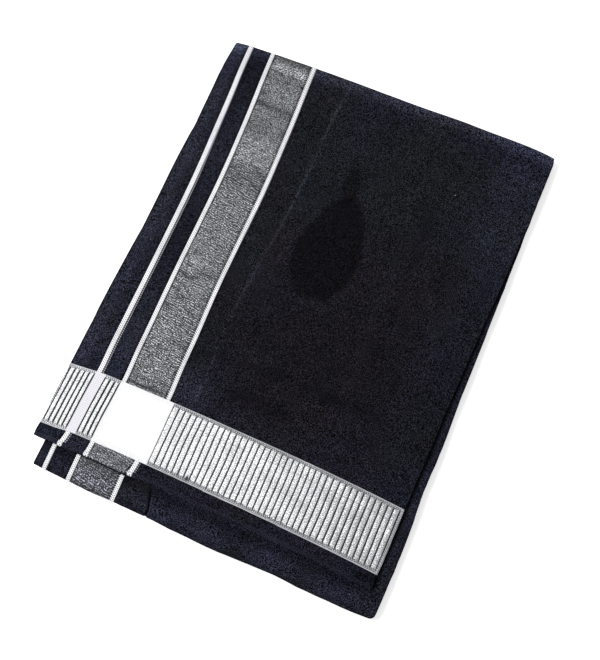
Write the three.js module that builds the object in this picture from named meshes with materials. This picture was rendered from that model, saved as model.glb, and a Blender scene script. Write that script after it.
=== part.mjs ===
// A black cotton lungi with a silver border, folded into a flat packet.
//
// One length of cloth, hemmed at its cut ends, is folded in four across its
// width and then zigzag into five lengths. Each length is one wall of four
// pressed plies. The top length ends in a rolled hem, a little short of the near
// fold, and lies a degree and a half askew on the lengths below it.
//
// Millimetres, +Z up. The packet lies on z = 0. X runs across it, with the woven
// border on the left (-X), and Y runs along it, with the far fold at +Y.

import * as THREE from 'three';

// ---------------------------------------------------------------- sizes

const CLOTH_WIDTH = 1270;                       // from selvedge to selvedge
const PACKET_WIDTH = CLOTH_WIDTH / 4;           // 317.5, folded in four
const FLAP_LENGTH = 413;                        // hem to far corners, top length
const LENGTHS = 5;                              // zigzag lengths in the packet

const WALL = 2.0;                               // four plies pressed together
const GAP = 0.45;                               // air between two lengths
const SEAM = 0.3;                               // clearance between pieces
const PITCH = WALL + GAP;
const TOP = LENGTHS * PITCH - GAP;              // 11.8, the packet's thickness
const HALF = WALL / 2;
const FOLD_RADIUS = PITCH / 2;                  // of the wall's middle line

const HEM_WIDTH = 3.7;                          // rolled hem on the cut end
const HEM_RISE = 0.35;                          // its roll above the flap

const STRIPE_WIDTH = 4.4;                       // each white warp stripe
const LADDER = 0.7;                             // dark line beside the zari
const BAND_LIFT = 0.35;                         // woven bands, moved out from
const BAND_WALL = 0.55;                         // the points of their panel
const BAND_NEAR = -193.7;                       // cross band, at the packet's
const BAND_FAR = -134.7;                        // side edges

const HEM_EDGE = -FLAP_LENGTH / 2;              // -206.5
const FAR_AXIS = 205.3;                         // axis of the far fold
const NEAR_AXIS = -227.1;                       // axis of the near fold
const TUCK = 12;                                // second length, turned under

const EDGE_PRESS = 0.55;                        // height left at the left fold
const BOW_WIDTH = 159;                          // half width that the bows span
const BOW = { hem: 3.1, far: 5.3, power: 2.5 }; // the middle lies further out
const NEAR_SKEW = 2.2;                          // near fold's right-hand corner

// The packet's box is centred on the origin by this move.
const ORIGIN = { x: 2.62, y: -8.7 };

// The top length, or flap: its left fold, the left side of each white stripe
// and its right fold, at stations along it.
const FLAP = [
  { y: -206.5, left: -161.4, s1: -135.5, s2: -111.0, s3: -66.4, right: 158.6 },
  { y: -164.0, left: -161.2, s1: -135.2, s2: -110.9, s3: -67.0, right: 158.4 },
  { y: -125.0, left: -161.8, s1: -135.3, s2: -111.2, s3: -68.0, right: 157.9 },
  { y: -75.0, left: -162.6, s1: -136.5, s2: -113.2, s3: -70.6, right: 157.4 },
  { y: -25.0, left: -161.6, s1: -137.0, s2: -114.3, s3: -72.8, right: 157.4 },
  { y: 25.0, left: -161.6, s1: -138.0, s2: -115.3, s3: -73.8, right: 157.6 },
  { y: 75.0, left: -163.2, s1: -140.2, s2: -116.8, s3: -74.9, right: 157.9 },
  { y: 115.0, left: -162.8, s1: -142.8, s2: -119.0, s3: -76.6, right: 158.2 },
  { y: 155.0, left: -163.3, s1: -145.6, s2: -121.9, s3: -79.3, right: 158.4 },
  { y: 182.0, left: -163.6, s1: -147.9, s2: -124.4, s3: -81.5, right: 158.6 },
  { y: 206.5, left: -162.6, s1: -149.4, s2: -126.2, s3: -83.7, right: 158.7 },
];

// The lengths below it, turned a little to the right at their near end.
const STACK = [
  { y: -229.0, left: -148.2, s1: -139.1, s2: -115.1, s3: -71.9, right: 168.6 },
  { y: -206.5, left: -148.6, s1: -140.9, s2: -116.6, s3: -74.1, right: 168.6 },
  { y: -150.0, left: -150.6, s1: -142.0, s2: -118.0, s3: -75.6, right: 167.4 },
  { y: -75.0, left: -153.2, s1: -143.4, s2: -119.6, s3: -77.2, right: 165.5 },
  { y: 0.0, left: -155.8, s1: -145.0, s2: -121.4, s3: -78.9, right: 163.6 },
  { y: 75.0, left: -158.4, s1: -146.6, s2: -123.2, s3: -80.6, right: 162.0 },
  { y: 150.0, left: -161.0, s1: -148.2, s2: -125.0, s3: -82.4, right: 160.2 },
  { y: 206.5, left: -162.6, s1: -149.4, s2: -126.2, s3: -83.7, right: 158.9 },
];

// How far the hidden lengths draw in from the packet's outline at each height:
// round side folds, a round near fold below and a round far fold above it. Over
// the near fold they stop short, and leave room for the second length's tuck.
const LAYERS = [
  { z: 0.0, side: 0.8, near: 2.4, far: 9.5 },
  { z: 0.5, side: 0.2, near: 1.3, far: 9.0 },
  { z: 1.5, side: 0.2, near: 0.7, far: 9.0 },
  { z: 2.0, side: 0.9, near: 0.6, far: 9.5 },
  { z: 2.22, side: 1.7, near: 0.6, far: 10.2 },
  { z: 2.45, side: 0.9, near: 0.6, far: 2.6 },
  { z: 2.95, side: 0.2, near: 0.7, far: 1.5 },
  { z: 3.95, side: 0.2, near: 1.3, far: 0.6 },
  { z: 4.45, side: 0.9, near: 2.4, far: 0.5 },
  { z: 4.67, side: 1.7, near: 2.4 + TUCK + 3, far: 0.5 },
  { z: 4.9, side: 0.9, near: 3.0 + TUCK + 3, far: 0.5 },
  { z: 5.4, side: 0.2, near: 3.0 + TUCK + 3, far: 0.7 },
  { z: 6.4, side: 0.2, near: 3.0 + TUCK + 3, far: 1.4 },
  { z: 6.9, side: 0.9, near: 3.0 + TUCK + 3, far: 2.6 },
  { z: 6.9, side: 4.5, near: 4.0 + TUCK + 3, far: 4.0 },
  { z: 6.9, side: 8.0, near: 5.0 + TUCK + 3, far: 6.0 },
  { z: 6.9, side: 11.5, near: 6.0 + TUCK + 3, far: 8.0 },
  { z: 6.9, side: 15.0, near: 7.0 + TUCK + 3, far: 10.0 },
];

// ---------------------------------------------------------------- materials

const COTTON = { color: 0x1c1d23, roughness: 0.9, metalness: 0 };
const WHITE = { color: 0xe4e3ea, roughness: 0.75, metalness: 0 };
const SILVER = { color: 0x77797d, roughness: 0.45, metalness: 0.5 };
const SILK = { color: 0xd2d2d5, roughness: 0.55, metalness: 0.1 };

// ---------------------------------------------------------------- helpers

const lerp = (a, b, t) => a + (b - a) * t;
const clamp01 = (t) => Math.min(1, Math.max(0, t));
const smooth = (t) => t * t * (3 - 2 * t);

// One row of a table, worked out at any station along the packet.
function across(table, y) {
  const last = table.length - 1;
  let i = 0;
  while (i < last - 1 && y > table[i + 1].y) i += 1;
  const a = table[i], b = table[i + 1];
  const t = clamp01((y - a.y) / (b.y - a.y));
  const row = {};
  for (const key of Object.keys(a)) row[key] = lerp(a[key], b[key], t);
  return row;
}

// The left margin is pressed thin and slopes down to its fold.
function press(x, y) {
  const { left, s1 } = across(FLAP, y);
  return lerp(EDGE_PRESS, 1, smooth(clamp01((x - left) / (s1 - left))));
}

const bulge = (x) => 1 - Math.pow(Math.min(1, Math.abs(x) / BOW_WIDTH), BOW.power);

// Where a point of the flat, straight-edged layout lies in the real packet.
function onFlap(x, y, z) {
  const t = clamp01((y - HEM_EDGE) / FLAP_LENGTH);
  return [x, y + lerp(BOW.hem, BOW.far, t) * bulge(x), z * press(x, y)];
}
function onStack(x, y, z) {
  const t = clamp01((y - NEAR_AXIS) / (FAR_AXIS - NEAR_AXIS));
  const skew = NEAR_SKEW * Math.pow(Math.max(0, x) / 168, 2) * (1 - t);
  return [x, y + BOW.far * t * bulge(x) + skew, z * press(x, y)];
}

// A closed solid through a row of closed rings. Each ring runs along one side
// and back along the other, so each end is closed by a strip between the two.
function loft(rings) {
  const n = rings[0].length;
  const points = rings.flat();
  const faces = [];
  for (let j = 0; j + 1 < rings.length; j += 1) {
    for (let i = 0; i < n; i += 1) {
      const k = (i + 1) % n;
      const a = j * n + i, b = j * n + k, c = a + n, d = b + n;
      faces.push(a, b, d, a, d, c);
    }
  }
  const last = (rings.length - 1) * n;
  for (let i = 0; i + 1 < n / 2; i += 1) {
    const a = i, b = i + 1, c = n - 2 - i, d = n - 1 - i;
    faces.push(a, d, c, last + a, last + c, last + d);
    if (c !== b) faces.push(a, c, b, last + a, last + b, last + c);
  }

  // Turn the faces outwards where the rings run the other way.
  let volume = 0;
  for (let i = 0; i < faces.length; i += 3) {
    const [a, b, c] = [0, 1, 2].map((k) => new THREE.Vector3(...points[faces[i + k]]));
    volume += a.dot(b.cross(c));
  }
  if (volume < 0) {
    for (let i = 0; i < faces.length; i += 3) [faces[i], faces[i + 1]] = [faces[i + 1], faces[i]];
  }
  const geometry = new THREE.BufferGeometry();
  geometry.setAttribute('position', new THREE.Float32BufferAttribute(points.flat(), 3));
  geometry.setIndex(faces);
  geometry.computeVertexNormals();
  return geometry;
}

const group = new THREE.Group();

function piece(name, geometry, look) {
  const mesh = new THREE.Mesh(geometry, new THREE.MeshStandardMaterial(look));
  mesh.name = name;
  mesh.position.set(-ORIGIN.x, -ORIGIN.y, 0);
  group.add(mesh);
}

// ---------------------------------------------------------------- walls

// Stations across a wall: both round side folds, the margin, the sides of each
// stripe, and the plain ground.
const MARGIN_STEPS = 7;
const GROUND_STEPS = 6;
function stations(row) {
  const flatLeft = row.left + HALF, flatRight = row.right - HALF;
  const out = [];
  for (let i = 0; i < MARGIN_STEPS; i += 1) out.push(lerp(flatLeft, row.s1, i / MARGIN_STEPS));
  for (const s of [row.s1, row.s2, row.s3]) out.push(s, s + STRIPE_WIDTH);
  const start = row.s3 + STRIPE_WIDTH;
  for (let i = 1; i <= GROUND_STEPS; i += 1) out.push(lerp(start, flatRight, i / GROUND_STEPS));
  return out;
}

// The ring of a wall about the middle line of a length: from the left fold over
// the outer side to the right fold, and back along the inner side.
const NOSE = [38, 74];
function wallRing(row) {
  const xs = stations(row);
  const nose = (x, side, up) => NOSE.map((a) => ({
    x: x + side * HALF * Math.sin(a * Math.PI / 180),
    e: up * HALF * Math.cos(a * Math.PI / 180),
  }));
  const over = (up) => [
    ...nose(xs[0], -1, up).reverse(),
    ...xs.map((x) => ({ x, e: up * HALF })),
    ...nose(xs[xs.length - 1], 1, up),
  ];
  return [...over(1), ...over(-1).reverse()];
}

// Places on the middle line of the flap, from its hem over the far fold: y, z
// and the turn of the wall there, in degrees.
const FLAP_MIDDLE = TOP - HALF;
const HEM_SEAM = HEM_EDGE + HEM_WIDTH + SEAM;
const FLAP_ROWS = [HEM_SEAM, BAND_NEAR, -164, BAND_FAR, ...FLAP.slice(2, -1).map((row) => row.y)];
const FLAP_PATH = [
  ...FLAP_ROWS.map((y) => ({ y, z: FLAP_MIDDLE, turn: 0 })),
  ...[0, 30, 60, 90, 120, 150, 180].map((turn) => ({
    y: FAR_AXIS + FOLD_RADIUS * Math.sin(turn * Math.PI / 180),
    z: FLAP_MIDDLE - FOLD_RADIUS * (1 - Math.cos(turn * Math.PI / 180)),
    turn,
  })),
];
function flapPoint(x, e, at) {
  const a = at.turn * Math.PI / 180;
  return onFlap(x, at.y + e * Math.sin(a), at.z + e * Math.cos(a));
}

// The second length, from the far fold to the near fold and turned under.
const SECOND_MIDDLE = FLAP_MIDDLE - PITCH;
const SECOND_ROWS = [FAR_AXIS - SEAM, ...[...FLAP_ROWS].reverse(), -212];
const SECOND_PATH = [
  ...SECOND_ROWS.map((y) => ({ y, z: SECOND_MIDDLE, turn: 0 })),
  ...[0, 30, 60, 90, 120, 150, 180].map((turn) => ({
    y: NEAR_AXIS - FOLD_RADIUS * Math.sin(turn * Math.PI / 180),
    z: SECOND_MIDDLE - FOLD_RADIUS * (1 - Math.cos(turn * Math.PI / 180)),
    turn,
  })),
  { y: NEAR_AXIS + TUCK, z: SECOND_MIDDLE - PITCH, turn: 180 },
];
function secondPoint(x, e, at) {
  const a = at.turn * Math.PI / 180;
  return onStack(x, at.y - e * Math.sin(a), at.z + e * Math.cos(a));
}

piece('top_length', loft(FLAP_PATH.map((at) =>
  wallRing(across(FLAP, at.y)).map(({ x, e }) => flapPoint(x, e, at)))), COTTON);

piece('second_length', loft(SECOND_PATH.map((at) =>
  wallRing(across(STACK, at.y)).map(({ x, e }) => secondPoint(x, e, at)))), COTTON);

// ---------------------------------------------------------------- hidden lengths

// Rounded rings at rising heights, through the plan of the lower lengths: up
// the right side from the middle of the near fold, and back down the left.
const CORNER = 4.0;
const PLAN = { halfX: 6, alongY: 9, perCorner: 3 };
function planRing({ z, side, near, far }) {
  const y0 = NEAR_AXIS - FOLD_RADIUS - HALF + near;
  const y1 = FAR_AXIS + FOLD_RADIUS + HALF - far;
  const edge = (y, toRight) => (toRight > 0 ? across(STACK, y).right + 0.4 - side : across(STACK, y).left + side);
  const middle = (y) => (edge(y, 1) + edge(y, -1)) / 2;
  const half = (toRight) => {
    const out = [];
    const x0 = edge(y0, toRight) - toRight * CORNER, x1 = edge(y1, toRight) - toRight * CORNER;
    for (let i = 0; i < PLAN.halfX; i += 1) out.push([lerp(middle(y0), x0, (i + 0.5) / PLAN.halfX), y0]);
    for (let i = 0; i < PLAN.perCorner; i += 1) {
      const a = Math.PI / 2 * (i + 0.5) / PLAN.perCorner;
      out.push([x0 + toRight * CORNER * Math.sin(a), y0 + CORNER * (1 - Math.cos(a))]);
    }
    for (let i = 0; i <= PLAN.alongY; i += 1) {
      const y = lerp(y0 + CORNER, y1 - CORNER, i / PLAN.alongY);
      out.push([edge(y, toRight), y]);
    }
    for (let i = 0; i < PLAN.perCorner; i += 1) {
      const a = Math.PI / 2 * (i + 0.5) / PLAN.perCorner;
      out.push([x1 + toRight * CORNER * Math.cos(a), y1 - CORNER * (1 - Math.sin(a))]);
    }
    for (let i = PLAN.halfX - 1; i >= 0; i -= 1) out.push([lerp(middle(y1), x1, (i + 0.5) / PLAN.halfX), y1]);
    return out;
  };
  return [...half(1), ...half(-1).reverse()].map(([x, y]) => onStack(x, y, z));
}

piece('hidden_lengths', loft(LAYERS.map(planRing)), COTTON);

// ---------------------------------------------------------------- hem

// The rolled hem along the flap's cut end: a flat bead, higher than the wall.
const HEM_PROFILE = [
  { along: 0.0, e: 0.0 },
  { along: 0.12, e: 0.75 },
  { along: 0.35, e: HALF + HEM_RISE },
  { along: 0.8, e: HALF + HEM_RISE },
  { along: 1.0, e: HALF },
  { along: 1.0, e: -HALF },
  { along: 0.12, e: -0.75 },
];
{
  const row = across(FLAP, HEM_EDGE);
  const xs = stations(row);
  const ends = [{ x: xs[0] - 0.6, size: 0.6 }, ...xs.map((x) => ({ x, size: 1 })), { x: xs[xs.length - 1] + 0.6, size: 0.6 }];
  piece('top_hem', loft(ends.map(({ x, size }) => HEM_PROFILE.map(({ along, e }) =>
    onFlap(x, HEM_EDGE + along * HEM_WIDTH, FLAP_MIDDLE + e * size)))), COTTON);
}

// ---------------------------------------------------------------- woven bands

// A band that lies on a wall's outer side, made from the wall's points, moved
// out. edges gives its two sides at a row of the table.
const LOW = HALF + BAND_LIFT;
const HIGH = LOW + BAND_WALL;
function band(table, point, path, edges) {
  return loft(path.map((at) => {
    const [x0, x1] = edges(across(table, at.y));
    return [[x0, LOW], [x0, HIGH], [x1, HIGH], [x1, LOW]].map(([x, e]) => point(x, e, at));
  }));
}

const BANDS = [
  { name: 'stripe_1', look: WHITE, edges: (r) => [r.s1, r.s1 + STRIPE_WIDTH] },
  { name: 'stripe_2', look: WHITE, edges: (r) => [r.s2, r.s2 + STRIPE_WIDTH] },
  { name: 'zari_band', look: SILVER, edges: (r) => [r.s2 + STRIPE_WIDTH + LADDER, r.s3 - LADDER] },
  { name: 'stripe_3', look: WHITE, edges: (r) => [r.s3, r.s3 + STRIPE_WIDTH] },
];

const flat = (y) => ({ y, z: FLAP_MIDDLE, turn: 0 });
const BORDER_PATH = [flat(BAND_FAR + SEAM), ...FLAP_PATH.filter((at) => at.y > BAND_FAR + SEAM && at.turn <= 120)];
const END_PATH = [flat(HEM_SEAM), flat(BAND_NEAR - SEAM)];
for (const { name, look, edges } of BANDS) {
  piece(`top_${name}`, band(FLAP, flapPoint, BORDER_PATH, edges), look);
  piece(`end_${name}`, band(FLAP, flapPoint, END_PATH, edges), look);
}

// On the second length they show from the flap's hem over the near fold.
const hemLine = (x) => HEM_EDGE + BOW.hem * bulge(x) - SEAM;
for (const { name, look, edges } of BANDS) {
  const [a, b] = edges(across(STACK, HEM_EDGE));
  const start = Math.min(hemLine(a), hemLine(b));
  const path = [{ y: start, z: SECOND_MIDDLE, turn: 0 },
    ...SECOND_PATH.filter((at) => at.y < start && at.turn <= 120)];
  piece(`second_${name}`, band(STACK, secondPoint, path, edges), look);
}

// The white cross band near the hem, over both side folds.
{
  const arc = (r, from, to, x, side) => [0, 0.5, 1].map((t) => {
    const a = lerp(from, to, t) * Math.PI / 180;
    return { x: x + side * r * Math.sin(a), e: r * Math.cos(a) };
  });
  piece('cross_band', loft([BAND_NEAR, -164, BAND_FAR].map((y) => {
    const xs = stations(across(FLAP, y));
    const first = xs[0], last = xs[xs.length - 1];
    const side = (r) => [
      ...arc(r, 80, 0, first, -1),
      ...xs.slice(1, -1).map((x) => ({ x, e: r })),
      ...arc(r, 0, 80, last, 1),
    ];
    return [...side(HIGH), ...side(LOW).reverse()].map(({ x, e }) => flapPoint(x, e, flat(y)));
  })), SILK);
}

export default group;
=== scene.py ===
"""A folded black cotton lungi with a silver border, laid flat.

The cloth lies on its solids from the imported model: a fine shell for each length
that shows, a layered edge for the hidden ones, and the woven border, cross band,
hem, stitches and lint on them. Layout sizes are in millimetres, as in the model's
source; x and y move by ORIGIN, and everything is then scaled to metres.
"""
import math

import bpy
import numpy as np
from mathutils import Matrix, Vector


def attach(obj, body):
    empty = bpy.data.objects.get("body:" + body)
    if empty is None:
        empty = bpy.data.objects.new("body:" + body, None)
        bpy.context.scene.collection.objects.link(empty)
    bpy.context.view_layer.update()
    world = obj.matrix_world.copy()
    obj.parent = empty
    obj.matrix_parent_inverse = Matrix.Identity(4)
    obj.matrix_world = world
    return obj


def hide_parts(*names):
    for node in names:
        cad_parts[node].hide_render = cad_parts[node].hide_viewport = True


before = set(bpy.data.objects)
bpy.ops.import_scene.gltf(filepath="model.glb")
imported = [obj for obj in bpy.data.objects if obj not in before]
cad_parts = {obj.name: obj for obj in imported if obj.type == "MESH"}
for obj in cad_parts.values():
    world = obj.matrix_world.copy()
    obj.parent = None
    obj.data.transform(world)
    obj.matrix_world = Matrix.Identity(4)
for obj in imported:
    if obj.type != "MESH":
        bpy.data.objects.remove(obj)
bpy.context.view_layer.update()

# ------------------------------------------------------------------ sizes, mm

WALL, GAP = 2.0, 0.45
PITCH, HALF, TOP = 2.45, 1.0, 11.8
FOLD_RADIUS = PITCH / 2
HEM_EDGE, HEM_WIDTH, HEM_RISE = -206.5, 3.7, 0.35
FLAP_LENGTH = 413.0
FAR_AXIS, NEAR_AXIS, TUCK = 205.3, -227.1, 12.0
STRIPE, LADDER = 4.4, 0.7
BAND_NEAR, BAND_FAR = -192.9, -135.2
EDGE_PRESS, BOW_WIDTH, BOW_HEM, BOW_FAR, BOW_POWER = 0.55, 159.0, 3.1, 5.3, 2.5
NEAR_SKEW = 2.2
FLAP_MIDDLE = TOP - HALF
SECOND_MIDDLE = FLAP_MIDDLE - PITCH
ORIGIN = np.array([2.62, -8.7, 0.0])
PLY = WALL / 4

# y, left fold, left sides of the three stripes, right fold
FLAP = np.array([
    (-206.5, -161.4, -136.3, -111.1, -68.5, 158.6), (-197.0, -161.3, -134.6, -110.5, -67.5, 158.6),
    (-164.0, -161.2, -134.5, -110.2, -67.0, 158.5), (-125.0, -161.4, -134.2, -110.1, -67.4, 158.4),
    (-110.0, -161.6, -134.9, -111.1, -68.5, 158.3), (-75.0, -162.1, -135.5, -112.2, -69.9, 158.2),
    (-25.0, -161.6, -136.3, -113.8, -72.5, 157.9), (25.0, -161.2, -137.3, -114.6, -73.3, 158.3),
    (75.0, -162.4, -139.1, -115.8, -74.2, 159.1), (115.0, -162.3, -141.9, -118.1, -76.3, 159.7),
    (155.0, -163.4, -144.6, -121.1, -79.0, 159.2), (182.0, -164.5, -147.0, -123.6, -81.2, 158.8),
    (206.5, -163.4, -148.3, -125.4, -83.1, 158.5)])
STACK = np.array([
    (-229.0, -149.0, -139.5, -115.7, -72.9, 169.8), (-206.5, -149.4, -140.5, -116.8, -74.2, 170.0),
    (-150.0, -151.2, -141.9, -118.1, -75.7, 168.9), (-115.0, -151.8, -142.6, -118.8, -76.4, 166.9),
    (-75.0, -153.2, -143.3, -119.6, -77.2, 166.6), (-30.0, -154.7, -144.0, -120.6, -78.0, 164.6),
    (0.0, -155.8, -144.8, -121.4, -78.9, 164.0), (75.0, -158.4, -146.2, -122.8, -80.3, 162.2),
    (150.0, -161.2, -147.6, -124.4, -82.0, 159.9), (206.5, -163.4, -148.3, -125.4, -83.1, 158.7)])
NOMINAL = np.array([-162.0, -140.0, -116.0, -74.0, 160.0])   # the same places, straight

# Pressed creases, soft folds and rubbed places of the top length. at: points
# (across, along) that a line follows; wide: its half width; rise: of the cloth;
# gain: how much lighter or darker it is painted, partly the rubbed nap and partly
# the painted light and shade of the crease; uneven: how much that varies.
ALONG = [
    dict(at=[(-40.8, 204), (-42.5, 178), (-41.5, 99), (-41.9, 58), (-45.4, 1), (-47.4, -50), (-43.2, -105), (-42.5, -131)],
         wide=1.0, rise=0.16, gain=1.95, uneven=0.25),
    dict(at=[(-41.5, 204), (-43, 178), (-42, 99), (-42.4, 58), (-45.6, 1), (-47.4, -50)], wide=4.5, rise=0.05, gain=1.13, uneven=0.4),
    dict(at=[(62, 150), (58, 122), (66, 60), (69, 0), (76, -80)], wide=3.6, rise=0.12, gain=1.20, uneven=0.5),
    dict(at=[(80, 165), (79, 103), (84, 0), (86, -40)], wide=5.0, rise=-0.10, gain=0.86, uneven=0.5),
    dict(at=[(118, 190), (120, 90), (124, -10)], wide=6.0, rise=0.10, gain=1.10, uneven=0.6),
    dict(at=[(146, 200), (147, 60), (149, -120)], wide=3.0, rise=-0.10, gain=0.88, uneven=0.5),
    dict(at=[(-150, 120), (-149, 10), (-150, -110)], wide=4.0, rise=0.10, gain=1.10, uneven=0.6),
    dict(at=[(-97, 60), (-95, -20), (-93, -120)], wide=3.5, rise=0.08, gain=1.0, uneven=0.6),
]
ACROSS = [
    dict(at=[(-60, -85), (-19, -81), (23, -77), (65, -78), (112, -74)], wide=3.4, rise=-0.22, gain=0.70, uneven=0.4),
    dict(at=[(-27, -110), (5, -106), (43, -108)], wide=4.5, rise=-0.16, gain=0.66, uneven=0.3),
    dict(at=[(20, -93), (84, -86)], wide=4.0, rise=0.14, gain=1.18, uneven=0.4),
    dict(at=[(-64, 10), (-36, 6)], wide=2.0, rise=0.08, gain=1.15, uneven=0.3),
    dict(at=[(-110, -58), (-70, -66)], wide=2.4, rise=-0.10, gain=0.90, uneven=0.4),
]
# Soft patches: centre, half width, half length, turn in degrees, gain, softness
PATCHES = [
    dict(x=6.9, y=47.5, a=29.0, b=51.5, turn=0, taper=0.24, gain=0.40, soft=0.05, warm=0.5),
    dict(x=0.4, y=109, a=7.2, b=21, turn=6, taper=0.3, gain=0.56, soft=0.30, warm=0.5),
    dict(x=6.5, y=-7.5, a=25, b=3.2, turn=0, taper=0.0, gain=1.22, soft=0.6, warm=0.0),
    dict(x=50, y=-46, a=94, b=60, turn=0, taper=0.0, gain=0.73, soft=0.7, warm=0.2),
    dict(x=86, y=58, a=40, b=42, turn=0, taper=0.0, gain=0.84, soft=0.8, warm=0.2),
    dict(x=142, y=150, a=26, b=62, turn=0, taper=0.0, gain=1.44, soft=0.8, warm=0.6),
    dict(x=-150, y=-200, a=13, b=9, turn=0, taper=0.0, gain=0.74, soft=0.6, warm=0.0),
    dict(x=155, y=-200, a=16, b=9, turn=0, taper=0.0, gain=0.55, soft=0.8, warm=0.0),
    dict(x=-55, y=-124, a=17, b=17, turn=0, taper=0.0, gain=2.0, soft=0.8, warm=0.0),
    dict(x=-156, y=-112, a=9, b=16, turn=0, taper=0.0, gain=1.3, soft=0.8, warm=0.0),
]
# Cross wrinkles of the silver band: y at its middle, lean, half width, rise
WRINKLES = [
    (201.0, -8.0, 3.0, 0.20), (192.0, -9.0, 2.2, -0.30), (183.5, -7.0, 2.8, 0.16), (172.0, -12.0, 2.0, -0.20),
    (162.0, -9.0, 3.0, 0.14), (150.0, -10.0, 2.6, -0.16), (138.0, -6.0, 3.2, 0.12), (124.0, -8.0, 2.2, 0.16),
    (113.0, -11.0, 2.6, -0.18), (101.0, -9.0, 3.0, 0.14), (89.5, -7.0, 2.0, -0.20), (76.0, -6.0, 2.8, -0.12),
    (62.0, -9.0, 3.4, 0.14), (44.0, -10.0, 2.4, -0.12), (28.0, -6.0, 3.0, 0.12), (9.0, -9.0, 2.6, -0.12),
    (-14.0, -7.0, 3.0, 0.10), (-37.0, -10.0, 2.6, -0.12), (-61.0, -7.0, 3.0, 0.10), (-88.0, -9.0, 2.6, -0.14),
    (-112.0, -7.0, 3.0, 0.10), (-127.0, -5.0, 2.8, -0.20),
]

# ------------------------------------------------------------------ numbers


def curve(xs, ys):
    """A smooth curve through points, held level past its ends."""
    xs, ys = np.asarray(xs, float), np.asarray(ys, float)
    h, n = np.diff(xs), len(xs)
    d = np.diff(ys) / h
    m = np.empty(n)
    m[0], m[-1] = d[0], d[-1]
    if n > 2:
        m[1:-1] = (d[:-1] * h[1:] + d[1:] * h[:-1]) / (h[1:] + h[:-1])

    def at(x):
        x = np.clip(np.asarray(x, float), xs[0], xs[-1])
        i = np.clip(np.searchsorted(xs, x, side="right") - 1, 0, n - 2)
        t = (x - xs[i]) / h[i]
        return ((2 * t**3 - 3 * t**2 + 1) * ys[i] + (t**3 - 2 * t**2 + t) * h[i] * m[i]
                + (3 * t**2 - 2 * t**3) * ys[i + 1] + (t**3 - t**2) * h[i] * m[i + 1])
    return at


FLAP_CURVES = [curve(FLAP[:, 0], FLAP[:, k]) for k in range(1, 6)]
STACK_CURVES = [curve(STACK[:, 0], STACK[:, k]) for k in range(1, 6)]


def smooth(t):
    t = np.clip(t, 0.0, 1.0)
    return t * t * (3 - 2 * t)


def waves(x, y, size, seed, count=10):
    """Smooth unevenness about zero, of unit size, with lengths about size."""
    rng = np.random.default_rng(seed)
    total = np.zeros(np.broadcast(x, y).shape)
    for _ in range(count):
        a, k, p = rng.uniform(0, math.pi), 2 * math.pi / (size * rng.uniform(0.65, 1.6)), rng.uniform(0, 2 * math.pi)
        total = total + np.sin(k * (np.cos(a) * x + np.sin(a) * y) + p)
    return total / math.sqrt(count / 2)


def wobble(t, size, seed):
    return waves(np.asarray(t, float), 0.0 * np.asarray(t, float), size, seed, 8)


def bulge(x):
    return 1 - np.minimum(1, np.abs(x) / BOW_WIDTH) ** BOW_POWER


def press(x, y):
    left, s1 = FLAP_CURVES[0](y), FLAP_CURVES[1](y)
    return EDGE_PRESS + (1 - EDGE_PRESS) * smooth((x - left) / (s1 - left))


FAR_WAVE = curve([-162, -157, -152, -140, -120, -55, -35, 0, 30, 50, 70, 90, 110, 130, 145, 152, 159],
                 [3.0, 2.3, 1.2, 0.6, 0.0, -1.0, -1.2, -1.4, -1.2, -0.5, 0.3, 0.5, 1.3, 2.2, 2.4, 2.2, 1.5])
NEAR_WAVE = curve([-150, -120, -94, -66, -41, -5, 35, 60, 82, 105, 128, 150, 168],
                  [0.3, -0.3, -0.9, -0.3, -0.2, -0.8, -0.8, 0.1, 0.9, 0.0, -0.6, -0.5, 0.3])


def far_move(x, y):
    """How far the far fold stands out along it, with its left corner rounded."""
    corner = 1.9 - np.sqrt(np.maximum(0, 1.9**2 - np.clip(-161.5 - x, 0, 1.9) ** 2))
    return smooth((y - 150) / 50) * (FAR_WAVE(x) - corner)


def on_flap(x, y, z):
    t = np.clip((y - HEM_EDGE) / FLAP_LENGTH, 0, 1)
    return np.stack([x, y + (BOW_HEM + (BOW_FAR - BOW_HEM) * t) * bulge(x) + far_move(x, y), z * press(x, y)], -1)


def on_stack(x, y, z):
    t = np.clip((y - NEAR_AXIS) / (FAR_AXIS - NEAR_AXIS), 0, 1)
    skew = NEAR_SKEW * (np.maximum(0, x) / 168) ** 2 * (1 - t)
    near = smooth((-196 - y) / 30)
    corner = 4.6 - np.sqrt(np.maximum(0, 4.6**2 - np.clip(x - 165.3, 0, 4.6) ** 2))
    return np.stack([x, y + BOW_FAR * t * bulge(x) + skew + near * (NEAR_WAVE(x) + corner) + far_move(x, y), z * press(x, y)], -1)


def straight(x, y, curves):
    """Across place of a point once the side border is straight, for the weave."""
    knots = np.stack([c(y) + 0 * x for c in curves], 0)
    u = NOMINAL[0] + (x - knots[0])
    for k in range(4):
        f = (x - knots[k]) / (knots[k + 1] - knots[k])
        u = np.where((f >= 0), NOMINAL[k] + f * (NOMINAL[k + 1] - NOMINAL[k]), u)
    return u


def line_mask(spec, x, y, along):
    """1 on a crease and less to its sides, fading at its two ends."""
    p = np.array(sorted(spec["at"], key=lambda q: q[1 if along else 0]), float)
    s, across = (y, x) if along else (x, y)
    c = curve(p[:, 1], p[:, 0]) if along else curve(p[:, 0], p[:, 1])
    d = across - c(s)
    lo, hi = (p[0, 1], p[-1, 1]) if along else (p[0, 0], p[-1, 0])
    fade = smooth((s - lo + 9) / 18) * smooth((hi + 9 - s) / 18)
    seed = int(abs(p[0, 0] * 7 + p[0, 1])) + 3
    varied = 1 + spec["uneven"] * np.clip(wobble(s, 26, seed) * 0.7, -1, 1)
    return np.exp(-(d / (spec["wide"] * (1 + 0.25 * wobble(s, 40, seed + 1)))) ** 2) * fade * np.clip(varied, 0, 2)


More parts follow.
